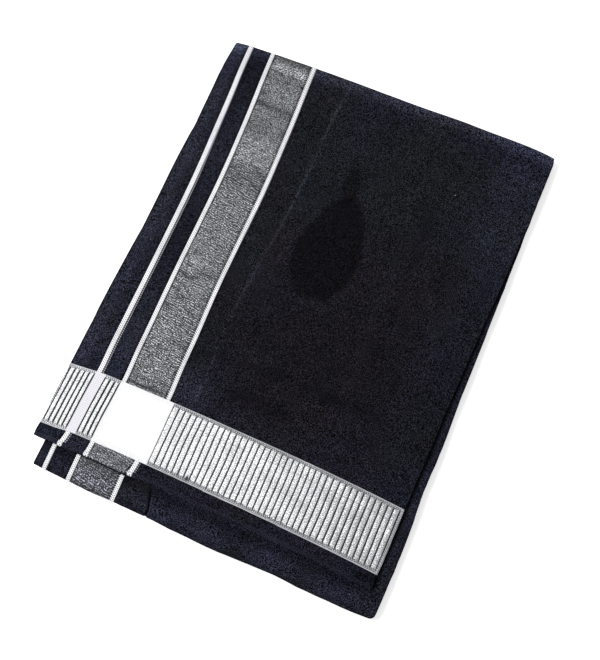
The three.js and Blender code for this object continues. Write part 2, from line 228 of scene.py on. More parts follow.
def flap_relief(x, y):
    """How far the top length's cloth stands from its flat wall."""
    r = 0.10 * waves(x, y, 70, 11) + 0.045 * waves(x, y, 19, 12)
    for spec in ALONG:
        r = r + spec["rise"] * line_mask(spec, x, y, True)
    for spec in ACROSS:
        r = r + spec["rise"] * line_mask(spec, x, y, False)
    s2, s3 = FLAP_CURVES[2](y), FLAP_CURVES[3](y)
    inside = smooth((x - s2 - 3) / 4) * smooth((s3 + 2 - x) / 4)
    for at, lean, wide, rise in WRINKLES:
        mid = (s2 + s3) / 2 + 2
        d = y - at - lean * (x - mid) / 20
        r = r + rise * np.exp(-(d / wide) ** 2) * inside
    left, right = FLAP_CURVES[0](y), FLAP_CURVES[4](y)
    edge = smooth((x - left) / 10) * smooth((right - x) / 8)
    return r * (0.3 + 0.7 * edge) * (0.35 + 0.65 * smooth((207 - y) / 9))


def patch_mask(p, x, y):
    """1 inside a soft patch, an oval that is narrower at its far end."""
    c, s = math.cos(math.radians(p["turn"])), math.sin(math.radians(p["turn"]))
    dx, dy = x - p["x"], y - p["y"]
    u, v = c * dx + s * dy, -s * dx + c * dy
    r = np.sqrt((u / (p["a"] * (1 - p["taper"] * np.clip(v / p["b"], -1, 1)))) ** 2 + (v / p["b"]) ** 2) + 0.022 * waves(x, y, 16, 31)
    return smooth((1 + p["soft"] - r) / (2 * p["soft"]))


BETWEEN_GAIN = curve([-206, -195, -130, -90, -40, 0, 50, 100, 140, 180, 207], [1.55, 1.55, 1.65, 1.70, 1.10, 0.84, 1.10, 1.45, 1.10, 0.76, 0.80])


def flap_gain(x, y):
    """How light the black ground is painted, 1 in the middle of the packet: the nap's tone, with painted light and
    shade on the creases, the far fold, the left margin, beside the stripes and at the left fold.
    """
    g = 0.83 + 0.036 * waves(x, y, 60, 21) + 0.025 * waves(x, y, 22, 22)
    for spec in ALONG:
        g = g * (1 + (spec["gain"] - 1) * line_mask(spec, x, y, True))
    for spec in ACROSS:
        g = g * (1 + (spec["gain"] - 1) * line_mask(spec, x, y, False))
    for p in PATCHES:
        g = g * (1 + (p["gain"] - 1) * patch_mask(p, x, y))
    # painted sheen: the black is painted much lighter towards the far fold, where the cloth rounds over
    g = g * (1 + 1.72 * smooth((y - 192) / 13))
    left, s1, s2, s3 = (FLAP_CURVES[k](y) for k in range(4))
    margin = smooth((s1 + 1 - x) / 3)
    between = smooth((s2 + 1 - x) / 3) * (1 - margin)
    # painted light: the left margin, which slopes down towards the lamp, is made lighter, most near the fold; the strip
    # between stripes 1 and 2 follows BETWEEN_GAIN
    g = g * (1 + (0.80 - 0.55 * smooth((x - left - 8) / 8)) * margin + (BETWEEN_GAIN(y) - 1) * between)
    # painted shade beside the raised white stripes and where the side fold turns down
    for at, wide in ((s1, 1.3), (s1 + 6.0, 1.3), (s2, 1.3), (s3 + STRIPE, 1.5)):
        g = g * (1 - 0.45 * np.exp(-((x - at) / wide) ** 2))
    return g * (1 - 0.50 * np.exp(-((x - left) / 1.5) ** 2))


def flap_blue(x, y):
    """How blue the black is, from 0 to 1."""
    s2 = FLAP_CURVES[2](y)
    b = 0.22 + 0.12 * waves(x, y, 80, 41)
    b = b + 0.42 * smooth((s2 + 6 - x) / 12) + 0.45 * smooth((x - 100) / 50) + 0.35 * smooth((-96 - y) / 40) + 0.35 * smooth((y - 165) / 30)
    return np.clip(b, 0, 1)


def flap_warm(x, y):
    """From -1, a greenish black, to 1, a reddish one."""
    w = 0.30 * waves(x, y, 45, 51)
    w = w + 0.9 * smooth((72 - y + 0.2 * (x - 60)) / 36) * smooth((x + 55) / 30) * smooth((132 - x) / 20)
    w = w - 0.8 * smooth((y - 76) / 30) * smooth((190 - y) / 30) * smooth((x + 74) / 6)
    for p in PATCHES:
        w = w + p["warm"] * patch_mask(p, x, y)
    return np.clip(w, -1, 1)


# ------------------------------------------------------------------ meshes


def zipper(a, b):
    """Triangles between two chains of points that run the same way."""
    out, i, j = [], 0, 0
    while i < len(a) - 1 or j < len(b) - 1:
        if j == len(b) - 1 or (i < len(a) - 1 and (i + 1) / (len(a) - 1) <= (j + 1) / (len(b) - 1)):
            out.append((a[i], a[i + 1], b[j])); i += 1
        else:
            out.append((a[i], b[j + 1], b[j])); j += 1
    return out


def shell(top, bottom):
    """Points and faces of a closed wall between two grids with equal rows."""
    nr, nt = top.shape[:2]
    nb = bottom.shape[1]
    T = np.arange(nr * nt).reshape(nr, nt)
    B = nr * nt + np.arange(nr * nb).reshape(nr, nb)

    def quads(a, b, c, d):
        return np.stack([a.ravel(), b.ravel(), c.ravel(), d.ravel()], -1)
    faces = np.concatenate([
        quads(T[:-1, :-1], T[:-1, 1:], T[1:, 1:], T[1:, :-1]),
        quads(B[:-1, :-1], B[1:, :-1], B[1:, 1:], B[:-1, 1:]),
        quads(T[:-1, 0], T[1:, 0], B[1:, 0], B[:-1, 0]),
        quads(T[:-1, -1], B[:-1, -1], B[1:, -1], T[1:, -1])]).tolist()
    faces += [list(f)[::-1] for f in zipper(T[0].tolist(), B[0].tolist())]
    faces += [list(f) for f in zipper(T[-1].tolist(), B[-1].tolist())]
    return np.concatenate([top.reshape(-1, 3), bottom.reshape(-1, 3)]), faces


def both(top, bottom):
    """Values of the points of shell(), in its order."""
    return np.concatenate([top.reshape(top.shape[0] * top.shape[1], -1), bottom.reshape(bottom.shape[0] * bottom.shape[1], -1)])


def mesh_object(name, points, faces, values=None, materials=(), slots=None, sharp=50, flip=True):
    co = (np.asarray(points, float) - ORIGIN) * 0.001
    if flip:
        f = np.array([q[:3] for q in faces] + [[q[0], q[2], q[3]] for q in faces if len(q) == 4])
        a, b, c = co[f[:, 0]], co[f[:, 1]], co[f[:, 2]]
        if np.einsum("ij,ij->i", a, np.cross(b, c)).sum() < 0:
            faces = [q[::-1] for q in faces]
    me = bpy.data.meshes.new(name)
    me.from_pydata(co.tolist(), [], [list(map(int, q)) for q in faces])
    for key, v in (values or {}).items():
        v = np.asarray(v, np.float32)
        if v.ndim == 1 or v.shape[1] == 1:
            me.attributes.new(key, "FLOAT", "POINT").data.foreach_set("value", v.ravel())
        else:
            me.attributes.new(key, "FLOAT_VECTOR", "POINT").data.foreach_set("vector", v.ravel())
    for m in materials:
        me.materials.append(m)
    if slots is not None:
        me.polygons.foreach_set("material_index", np.asarray(slots, np.int32))
    me.polygons.foreach_set("use_smooth", [True] * len(me.polygons))
    if sharp:
        me.set_sharp_from_angle(angle=math.radians(sharp))
    me.update()
    o = bpy.data.objects.new(name, me)
    bpy.context.scene.collection.objects.link(o)
    return o


def place(o, slot, *nodes):
    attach(o, "root")
    if nodes:
        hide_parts(*nodes)
    return o


# ------------------------------------------------------------------ materials


class Look:
    """A material made of nodes, with short names for the nodes it uses most."""

    def __init__(self, name, **base):
        self.m = bpy.data.materials.new(name)
        self.m.use_nodes = True
        self.t = self.m.node_tree
        self.t.nodes.clear()
        out = self.t.nodes.new("ShaderNodeOutputMaterial")
        self.b = self.t.nodes.new("ShaderNodeBsdfPrincipled")
        self.t.links.new(self.b.outputs[0], out.inputs[0])
        for k, v in base.items():
            self.b.inputs[k.replace("_", " ")].default_value = v

    def put(self, socket, value):
        if isinstance(value, bpy.types.NodeSocket):
            self.t.links.new(value, socket)
        else:
            socket.default_value = value

    def node(self, kind, **props):
        n = self.t.nodes.new(kind)
        for k, v in props.items():
            setattr(n, k, v)
        return n

    def vector(self, name):
        return self.node("ShaderNodeAttribute", attribute_name=name).outputs["Vector"]

    def parts(self, v):
        n = self.node("ShaderNodeSeparateXYZ")
        self.put(n.inputs[0], v)
        return n.outputs[0], n.outputs[1], n.outputs[2]

    def join(self, x, y, z=0.0):
        n = self.node("ShaderNodeCombineXYZ")
        for s, v in zip(n.inputs, (x, y, z)):
            self.put(s, v)
        return n.outputs[0]

    def math(self, op, *args, clamp=False):
        n = self.node("ShaderNodeMath", operation=op, use_clamp=clamp)
        for s, v in zip(n.inputs, args):
            self.put(s, v)
        return n.outputs[0]

    def noise(self, v, scale, detail=2.0, rough=0.5):
        n = self.node("ShaderNodeTexNoise")
        self.put(n.inputs["Vector"], v)
        n.inputs["Scale"].default_value, n.inputs["Detail"].default_value, n.inputs["Roughness"].default_value = scale, detail, rough
        return n.outputs[0]

    def between(self, x, lo, hi, a=0.0, b=1.0, smooth_step=True):
        n = self.node("ShaderNodeMapRange", interpolation_type="SMOOTHSTEP" if smooth_step else "LINEAR")
        for s, v in zip(n.inputs, (x, lo, hi, a, b)):
            self.put(s, v)
        return n.outputs[0]

    def blend(self, f, a, b):
        n = self.node("ShaderNodeMix", data_type="RGBA")
        self.put(n.inputs[0], f)
        for s, v in ((n.inputs[6], a), (n.inputs[7], b)):
            self.put(s, (*v, 1.0) if isinstance(v, tuple) else v)
        return n.outputs[2]

    def times(self, colour, f):
        """A colour made lighter or darker by a number."""
        n = self.node("ShaderNodeVectorMath", operation="SCALE")
        self.put(n.inputs[0], colour if isinstance(colour, bpy.types.NodeSocket) else colour[:3])
        self.put(n.inputs["Scale"], f)
        return n.outputs[0]

    def spread(self, n, gain):
        """2 to the power gain * (n - 0.5), for noise that lightens and darkens alike."""
        return self.math("POWER", 2.0, self.math("MULTIPLY", self.math("SUBTRACT", n, 0.5), gain))

    def even(self, n, gain, lo, hi):
        """1 + gain * (n - 0.5), held between two values, for an even grain."""
        return self.math("MINIMUM", self.math("MAXIMUM", self.math("MULTIPLY_ADD", self.math("SUBTRACT", n, 0.5), gain, 1.0), lo), hi)

    def tint(self, colour, by):
        n = self.node("ShaderNodeVectorMath", operation="MULTIPLY")
        self.put(n.inputs[0], colour)
        self.put(n.inputs[1], by)
        return n.outputs[0]

    def product(self, *args):
        out = args[0]
        for a in args[1:]:
            out = self.math("MULTIPLY", out, a)
        return out

    def bump(self, height, mm, normal=None, strength=1.0):
        n = self.node("ShaderNodeBump")
        n.inputs["Strength"].default_value = strength
        n.inputs["Distance"].default_value = mm * 0.001
        self.put(n.inputs["Height"], height)
        if normal is not None:
            self.put(n.inputs["Normal"], normal)
        return n.outputs[0]

    def wave(self, x, pitch, shift=0.0):
        """0.5 + 0.5 sin, once each pitch."""
        return self.math("MULTIPLY_ADD", self.math("SINE", self.math("MULTIPLY_ADD", x, 2 * math.pi / pitch, shift)), 0.5, 0.5)

    def colour(self, c):
        self.put(self.b.inputs["Base Color"], c)

    def normal(self, n):
        self.put(self.b.inputs["Normal"], n)

    def rough(self, r):
        self.put(self.b.inputs["Roughness"], r)


def weave_height(k, u, v, pitch=0.52):
    """A plain weave: the warp rises where the weft dips."""
    a, b = k.wave(u, pitch * 2), k.wave(v, pitch * 2)
    over = k.math("MULTIPLY", a, b)
    under = k.math("MULTIPLY", k.math("SUBTRACT", 1.0, a), k.math("SUBTRACT", 1.0, b))
    return k.math("MAXIMUM", over, under)


GROUND_DARK, GROUND_BLUE = (0.0066, 0.0067, 0.0083), (0.0067, 0.0072, 0.0124)
BLACK_GAIN = 1.50


def black_cotton():
    """Matt black cotton, a little blue, with a fine nap that catches the light."""
    k = Look("black_cotton", Roughness=0.92, Specular_IOR_Level=0.05, Sheen_Weight=0.006, Sheen_Roughness=0.5)
    cloth = k.vector("cloth")
    gain, blue, warm = k.parts(k.vector("shade"))
    u, v, w = k.parts(cloth)
    fleck = k.noise(cloth, 0.85, 1.0, 0.6)
    grain = k.noise(k.join(u, v, k.math("ADD", w, 40.0)), 1.5, 0.0, 0.5)
    slub = k.noise(k.join(k.math("MULTIPLY", u, 0.9), k.math("MULTIPLY", v, 0.16), w), 1.6, 1.0)
    weft = k.noise(k.join(k.math("MULTIPLY", u, 0.10), k.math("MULTIPLY", v, 1.1), w), 1.5, 1.0)
    mottle = k.noise(cloth, 0.14, 3.0, 0.6)
    hues = k.noise(cloth, 0.22, 2.0, 0.6)
    # gain brings each length's tone together with its painted light and shade
    value = k.product(gain, k.spread(fleck, 1.7), k.even(grain, 13.0, 0.03, 3.6), k.spread(slub, 0.9), k.spread(weft, 1.2), k.spread(mottle, 0.35))
    hue = k.math("ADD", blue, k.math("MULTIPLY", k.math("SUBTRACT", hues, 0.5), 0.8), clamp=True)
    base = k.tint(k.blend(hue, GROUND_DARK, GROUND_BLUE),
                  k.join(k.math("MULTIPLY_ADD", warm, 0.09, 1.0), k.math("MULTIPLY_ADD", warm, -0.04, 1.0), 1.0))
    k.colour(k.times(base, k.math("MULTIPLY", value, BLACK_GAIN)))
    k.rough(k.between(mottle, 0.3, 0.7, 0.88, 0.96))
    height = k.math("MULTIPLY_ADD", fleck, 0.4, k.math("MULTIPLY", weave_height(k, u, v), 0.5))
    k.normal(k.bump(height, 0.16))
    return k.m


def white_stripe(ladder=False):
    """Thick white warp threads that the weft ties down in a fine lattice, so that
    small pillows stand between grey pits. stripe: u across from its left side in
    mm, v along in mm, w which side has the dark dots."""
    k = Look("white_ladder_stripe" if ladder else "white_stripe", Roughness=0.78, Specular_IOR_Level=0.2, Sheen_Weight=0.05)
    u, v, w = k.parts(k.vector("stripe"))
    # shine: a little lighter or darker along the border; on the hem it brings the painted shade of the roll's front
    shine = k.parts(k.vector("shade"))[0]
    pitch = 1.95
    a = k.wave(k.math("MULTIPLY_ADD", u, 0.70, v), pitch)
    b = k.wave(k.math("MULTIPLY_ADD", u, -0.70, v), pitch)
    cell = k.math("MULTIPLY", a, b)
    fray = k.noise(k.join(u, v, 3.0), 1.5, 2.0, 0.7)
    colour = k.blend(k.between(cell, 0.20, 0.58), (0.98, 0.98, 1.0), (0.19, 0.19, 0.24))
    colour = k.times(colour, k.math("MULTIPLY", k.spread(fray, 1.9), shine))
    beat = k.wave(v, pitch, 0.6)
    # dark dots where the border's ground comes through beside the silver or black
    side = k.math("ABSOLUTE", k.math("SUBTRACT", u, w))
    dot = k.math("MULTIPLY", k.between(side, 0.50, 0.90, 1.0, 0.0), k.between(beat, 0.35, 0.60))
    if ladder:
        # past 4.4 mm: a dark line of dashes, then one grey thread; lavender at the far end
        past = k.between(u, 4.15, 4.30)
        thread = k.between(u, 5.10, 5.25)
        grey = k.blend(k.between(beat, 0.3, 0.7), (0.045, 0.045, 0.06), (0.50, 0.50, 0.55))
        rung = k.between(beat, 0.55, 0.9)
        gapc = k.blend(rung, (0.006, 0.006, 0.009), (0.05, 0.05, 0.07))
        lane = k.blend(thread, gapc, grey)
        soft = k.blend(k.between(beat, 0.25, 0.75), (0.10, 0.10, 0.15), (0.50, 0.50, 0.60))
        colour = k.blend(past, colour, k.blend(k.between(v, 50.0, 130.0), lane, soft))
    colour = k.blend(dot, colour, (0.040, 0.040, 0.055))
    k.colour(colour)
    height = k.math("ADD", k.math("MULTIPLY", cell, -0.7), k.math("MULTIPLY", fray, 0.5))
    k.normal(k.bump(height, 0.22))
    return k.m


def silver_zari():
    """Grey silver thread in short floats: rows that lean off the weft, each
    broken into bright and dark dashes, with dark ticks along the stripes.
    shade: how light it is, with the painted light and shade of its bands and creases, how blue, and how clearly the
    rows show."""
    k = Look("silver_zari", Roughness=0.5, Metallic=0.25, Specular_IOR_Level=0.3)
    cloth = k.vector("cloth")
    u, v, w = k.parts(cloth)
    gain, blue, hatch = k.parts(k.vector("shade"))
    c, s = math.cos(math.radians(-9)), math.sin(math.radians(-9))
    a = k.math("MULTIPLY_ADD", u, c, k.math("MULTIPLY", v, s))
    b = k.math("MULTIPLY_ADD", u, -s, k.math("MULTIPLY", v, c))
    bend = k.noise(k.join(k.math("MULTIPLY", a, 0.6), b, w), 0.16, 1.0)
    row = k.wave(k.math("MULTIPLY_ADD", bend, 5.0, b), 1.95)
    dash = k.noise(k.join(k.math("MULTIPLY", a, 0.42), k.math("MULTIPLY", b, 1.0), w), 1.75, 1.0, 0.5)
    grain = k.noise(k.join(k.math("MULTIPLY", u, 0.9), k.math("MULTIPLY", v, 1.15), k.math("ADD", w, 9.0)), 1.2, 0.0, 0.5)
    long = k.noise(k.join(k.math("MULTIPLY", a, 0.05), k.math("MULTIPLY", b, 0.55), w), 0.55, 2.0, 0.6)
    rows = k.math("MULTIPLY_ADD", k.math("MULTIPLY", k.math("SUBTRACT", row, 0.5), hatch), 1.8, 1.0)
    value = k.product(gain, k.spread(dash, 3.0), k.even(grain, 11.5, 0.05, 3.3), k.spread(long, 0.9), k.math("MAXIMUM", rows, 0.05))
    beat = k.wave(v, 1.95, 0.6)
    near_side = k.math("ADD", k.between(u, -111.0, -109.9, 1.0, 0.0), k.between(u, -76.8, -75.6))
    tick = k.math("MULTIPLY", near_side, k.between(beat, 0.35, 0.75))
    value = k.math("MULTIPLY", value, k.math("MULTIPLY_ADD", tick, -0.92, 1.0))
    k.colour(k.times(k.blend(blue, (0.157, 0.1615, 0.171), (0.135, 0.139, 0.166)), value))
    k.rough(k.between(dash, 0.35, 0.65, 0.62, 0.42))
    height = k.math("ADD", k.math("MULTIPLY", dash, 1.0), k.math("MULTIPLY", row, 0.35))
    k.normal(k.bump(height, 0.20))
    return k.m


def cross_band_look():
    """White ribs with dark lines between them, grey chain lines along both
    sides and the right end, and the plain white and lilac crossings. band: p
    counts the ribs, q is the way from the near side in mm, w is 0 on ribs and 1
    where they stop."""
    k = Look("white_cross_band", Roughness=0.66, Specular_IOR_Level=0.3, Sheen_Weight=0.05)
    p, q, w = k.parts(k.vector("band"))
    u, v, _ = k.parts(k.vector("cloth"))
    wide = BAND_FAR - BAND_NEAR
    shine, _, lilac = k.parts(k.vector("shade"))
    spot = k.noise(k.join(k.math("MULTIPLY", u, 0.9), k.math("MULTIPLY", v, 1.1), 7.0), 1.3, 1.0, 0.6)
    dash = k.noise(k.join(k.math("MULTIPLY_ADD", v, 0.35, u), k.math("MULTIPLY", v, 1.2), 9.0), 1.0, 1.0, 0.5)
    blot = k.noise(k.join(u, v, 15.0), 0.16, 1.0, 0.5)
    # more dashes to the right, and a painted shade on ribs and chains that deepens towards the right end, where less
    # light falls
    more = k.between(u, -70.0, 150.0, 0.0, 1.0, False)
    rib = k.blend(k.math("MULTIPLY", k.between(dash, 0.54, 0.66), k.math("MULTIPLY_ADD", more, 0.52, 0.22)), (0.915, 0.925, 0.94), (0.20, 0.20, 0.23))
    rib = k.times(rib, k.product(k.spread(spot, 6.4), k.spread(blot, 0.5), k.math("MULTIPLY_ADD", more, -0.33, 1.03), k.between(u, -60.0, 10.0, 0.88, 1.0)))
    # painted light and shade: each rib is lighter on its left side, towards the lamp, and darker on its right, most of
    # all near the right end
    lean = k.math("SUBTRACT", 0.42, k.math("FRACT", p))
    rib = k.times(rib, k.math("MULTIPLY_ADD", lean, k.between(u, 66.0, 118.0, 0.14, 0.92), 1.0))
    # dark lines between the ribs, and a soft painted shade beside them where the ribs round down
    off = k.math("ABSOLUTE", k.math("SUBTRACT", k.math("FRACT", k.math("ADD", p, 0.5)), 0.5))
    edge = k.math("MULTIPLY_ADD", k.math("SUBTRACT", spot, 0.5), 0.05, off)
    near_group = k.between(u, -109.0, -107.0, 1.0, 0.0)
    edge = k.math("MULTIPLY", edge, k.math("MULTIPLY_ADD", near_group, -0.36, 1.0))
    inside = k.math("SUBTRACT", 1.0, w)
    rib = k.times(rib, k.between(edge, 0.10, 0.26, 0.78, 1.0))
    gap = k.math("MULTIPLY", k.between(edge, 0.085, 0.145, 1.0, 0.0), inside)
    dark = k.times((0.020, 0.021, 0.027), k.spread(dash, 3.0))
    body = k.blend(gap, rib, dark)
    # one dark pick crosses the ribs
    pick = k.math("MULTIPLY", k.between(k.math("ABSOLUTE", k.math("SUBTRACT", q, 44.9)), 0.22, 0.55, 1.0, 0.0), k.between(dash, 0.40, 0.52))
    body = k.blend(k.product(pick, inside, 0.55), body, (0.10, 0.10, 0.12))
    # grey chain lines with a white outer thread
    q2 = k.math("MINIMUM", q, k.math("SUBTRACT", wide, q))
    rag = k.math("MULTIPLY_ADD", k.math("SUBTRACT", spot, 0.5), 1.2, q2)
    line = k.between(k.math("SUBTRACT", rag, k.between(q, 15.0, 20.0, 0.5, 0.1)), 3.0, 3.3, 1.0, 0.0)
    chevron = k.wave(k.math("ADD", u, k.math("MULTIPLY", k.math("ABSOLUTE", k.math("SUBTRACT", q2, 1.8)), 1.1)), 1.95)
    chain = k.blend(k.between(chevron, 0.3, 0.8), (0.10, 0.105, 0.115), (0.47, 0.48, 0.50))
    chain = k.times(chain, k.product(k.spread(spot, 4.6), k.spread(dash, 3.4), k.between(q, 20.0, 40.0, 1.02, 0.98), k.between(u, -112.0, -104.0, 1.30, 1.0), k.math("MULTIPLY_ADD", more, -0.12, 1.02)))
    chain = k.blend(k.between(q2, 0.45, 0.80, 1.0, 0.0), chain, (0.55, 0.55, 0.58))
    notch = k.math("MULTIPLY", k.between(off, 0.08, 0.16, 1.0, 0.0), k.between(q2, 1.6, 2.8))
    chain = k.blend(k.math("MULTIPLY", notch, 0.75), chain, (0.05, 0.05, 0.06))
    body = k.blend(k.math("MULTIPLY", line, inside), body, chain)
    # the chain down the right end
    chevron = k.wave(k.math("ADD", v, k.math("MULTIPLY", k.math("ABSOLUTE", k.math("SUBTRACT", u, 157.0)), 1.1)), 1.95)
    strip = k.blend(k.between(chevron, 0.3, 0.8), (0.20, 0.20, 0.23), (0.50, 0.50, 0.54))
    strip = k.times(strip, k.product(k.spread(spot, 3.0), k.spread(dash, 2.0)))
    body = k.blend(k.between(u, 156.1, 156.5), body, strip)
    # the crossings, smooth white silk; the lilac one has a fine grid
    grid = k.math("MULTIPLY", k.wave(v, 1.95), k.wave(u, 1.95))
    rim = k.math("MAXIMUM", k.between(q, 2.0, 9.0, 1.0, 0.0), k.math("MAXIMUM", k.between(q, wide - 7.0, wide - 2.0), k.between(u, -109.0, -100.0, 1.0, 0.0)))
    faint = k.noise(k.join(u, v, 31.0), 0.45, 2.0, 0.6)
    white = k.blend(k.math("MULTIPLY", rim, k.between(faint, 0.30, 0.62, 0.25, 1.0)), (1.0, 1.0, 1.0), (0.87, 0.87, 0.885))
    plain = k.blend(lilac, white, k.blend(grid, (0.86, 0.85, 0.90), (0.60, 0.59, 0.66)))
    plain = k.times(plain, k.math("MULTIPLY_ADD", k.math("SUBTRACT", k.spread(spot, 0.5), 1.0), lilac, 1.0))
    k.colour(k.blend(w, k.times(body, shine), plain))
    threads = k.wave(v, 0.62)
    height = k.math("ADD", k.math("MULTIPLY", spot, 0.8), k.math("MULTIPLY", threads, 0.35))
    k.normal(k.bump(height, 0.16))
    return k.m


def thread_look(name, colour, rough=0.85):
    k = Look(name, Roughness=rough, Specular_IOR_Level=0.12)
    c = k.vector("cloth")
    k.colour(k.times(colour, k.spread(k.noise(c, 2.0, 2.0), 1.6)))
    k.normal(k.bump(k.noise(c, 5.0, 1.0), 0.08))
    return k.m


COTTON = black_cotton()
WHITE = white_stripe()
WHITE_LADDER = white_stripe(ladder=True)
ZARI = silver_zari()
SILK = cross_band_look()
BLACK_THREAD = thread_look("black_thread", (0.016, 0.016, 0.022))
LINT = thread_look("lint", (0.85, 0.85, 0.88))

# ------------------------------------------------------------------ lengths


def arc_points(cx, ce, r, degrees):
    a = np.radians(np.asarray(degrees, float))
    return cx[:, None] + r * np.cos(a), ce + r * np.sin(a) + 0 * cx[:, None]


def edge_profiles(left, right, y, seed):
    """Both side edges of four plies folded zigzag: on the left a selvedge, one
    fold and the other selvedge, on the right two folds. Each lies in or out of
    the others a little along the edge. x and e from the top to the bottom."""
    o = [0.30 * wobble(y, 60, seed + i) + 0.12 * wobble(y, 17, seed + 10 + i) for i in range(5)]
    r = 0.25
    parts = []
    cx1 = left + r + 0.10 + np.clip(o[0], -0.2, 0.7)
    cx2 = left + 0.5 + np.clip(o[1], -0.2, 0.9)
    cx3 = left + r + 0.30 + np.clip(o[2], -0.2, 0.9)
    parts.append(arc_points(cx1, 0.75, r, [90, 125, 160, 195, 235]))
    parts.append(((np.maximum(cx1, cx2) + 0.15)[:, None], np.full((len(y), 1), 0.51)))
    parts.append(arc_points(cx2, 0.0, 0.5, [118, 145, 165, 180, 195, 215, 242]))
    parts.append(((np.maximum(cx2, cx3) + 0.15)[:, None], np.full((len(y), 1), -0.51)))
    parts.append(arc_points(cx3, -0.75, r, [125, 160, 195, 235, 270]))
    lx, le = np.concatenate([p[0] for p in parts], 1), np.concatenate([p[1] for p in parts], 1)
    cx4 = right - 0.5 + np.clip(o[3], -0.7, 0.2)
    cx5 = right - 0.5 + np.clip(o[4], -0.9, 0.2)
    parts = [arc_points(cx4, 0.5, 0.5, [90, 68, 45, 22, 0, -25, -50, -72]),
             ((np.minimum(cx4, cx5) + 0.05)[:, None], np.full((len(y), 1), 0.0)),
             arc_points(cx5, -0.5, 0.5, [72, 50, 25, 0, -22, -45, -68, -90])]
    rx, re = np.concatenate([p[0] for p in parts], 1), np.concatenate([p[1] for p in parts], 1)
    return (lx, le), (rx, re)


def steps(a, b, n):
    """n + 1 places from a to b, for each row."""
    t = np.linspace(0, 1, n + 1)[None, :]
    return a[:, None] * (1 - t) + b[:, None] * t


def length_grids(rows, curves, relief, point, seed, tops, bottoms):
    """Upper and lower grids of a length of cloth: across from the middle of the
    left edge, over the cloth, to the middle of the right edge, and the same
    below. rows: (y, z, turn). tops, bottoms: stations across, from each row."""
    y = np.array([r[0] for r in rows])
    left, s1, s2, s3, right = (c(y) for c in curves)
    (lx, le), (rx, re) = edge_profiles(left, right, y, seed)
    nl, nr_ = 9, 9                      # points of each edge that go with the top
    flat_l, flat_r = lx[:, 0], rx[:, 0]
    xt = tops(flat_l, s1, s2, s3, flat_r)
    yt = y[:, None] + 0 * xt
    et = HALF + relief(xt, yt)
    dl, dr = et[:, :1] - HALF, et[:, -1:] - HALF
    X = np.concatenate([lx[:, 1:nl][:, ::-1], xt, rx[:, 1:nr_]], 1)
    E = np.concatenate([le[:, 1:nl][:, ::-1] + dl * 0.5, et, re[:, 1:nr_] + dr * 0.5], 1)
    xb = bottoms(lx[:, -1], s1, s2, s3, rx[:, -1])
    XB = np.concatenate([lx[:, nl:-1], xb, rx[:, nr_:-1][:, ::-1]], 1)
    EB = np.concatenate([le[:, nl:-1], -HALF + 0 * xb, re[:, nr_:-1][:, ::-1]], 1)
    grids = []
    for gx, ge in ((X, E), (XB, EB)):
        gy = y[:, None] + 0 * gx
        gz = np.array([r[1] for r in rows])[:, None] + 0 * gx
        gt = np.radians(np.array([r[2] for r in rows]))[:, None] + 0 * gx
        pts = point(gx, ge, gy, gz, gt)
        run = np.array([r[3] for r in rows])[:, None] + 0 * gx
        cloth = np.stack([straight(gx, gy, curves), run, 0 * gx + ge * 1.0], -1)
        grids.append((pts, gx, gy, ge, cloth))
    return grids


def flap_point(x, e, y, z, turn):
    return on_flap(x, y + e * np.sin(turn), z + e * np.cos(turn))


def second_point(x, e, y, z, turn):
    return on_stack(x, y - e * np.sin(turn), z + e * np.cos(turn))


def fold_rows(axis, z, way, turns, start_run):
    return [(axis + way * FOLD_RADIUS * math.sin(math.radians(a)), z - FOLD_RADIUS * (1 - math.cos(math.radians(a))), a,
             start_run + way * (FOLD_RADIUS + HALF) * math.radians(a)) for a in turns]


def flap_rows(ys):
    return [(float(y), FLAP_MIDDLE, 0.0, float(y)) for y in ys]


HEM_SEAM = HEM_EDGE + HEM_WIDTH
FLAP_PATH = flap_rows(np.linspace(HEM_SEAM - 0.6, FAR_AXIS - 2.0, 172)) + fold_rows(FAR_AXIS, FLAP_MIDDLE, 1, np.arange(0, 180.1, 9), FAR_AXIS)


def flap_tops(l, s1, s2, s3, r):
    fixed = np.full_like(l, -57.0)
    return np.concatenate([
        steps(l, s1, 12)[:, :-1], steps(s1, s1 + STRIPE, 3)[:, :-1], steps(s1 + STRIPE, s2, 7)[:, :-1],
        steps(s2, s2 + STRIPE, 3)[:, :-1], steps(s2 + STRIPE, s3, 17)[:, :-1], steps(s3, s3 + STRIPE, 3)[:, :-1],
        steps(s3 + STRIPE, fixed, 5)[:, :-1], steps(fixed, fixed + 25, 30)[:, :-1], steps(fixed + 25, r, 70)], 1)


def coarse(l, s1, s2, s3, r):
    return np.concatenate([steps(l, s1, 4)[:, :-1], steps(s1, s3, 6)[:, :-1], steps(s3, r, 16)], 1)


(ft, fx, fy, fe, fc), (fb, bx, by, be, bc) = length_grids(FLAP_PATH, FLAP_CURVES, flap_relief, flap_point, 50, flap_tops, coarse)
pts, faces = shell(ft, fb)
gain, blue = flap_gain(fx, fy), flap_blue(fx, fy)
turned = np.array([r[2] for r in FLAP_PATH])[:, None] + 0 * gain
# painted shade where the cloth turns down round the far fold
gain = gain * (1 - 0.55 * smooth((turned - 25) / 25))
shade_t = np.stack([gain, blue, flap_warm(fx, fy)], -1)
shade_b = np.stack([0 * bx + 1.0, 0 * bx + 0.3, 0 * bx], -1)
top_length = place(mesh_object("lungi_top_length", pts, faces, {"cloth": both(fc, bc), "shade": both(shade_t, shade_b)}, [COTTON]),
                   "black_cotton", "top_length")


# ---- second length

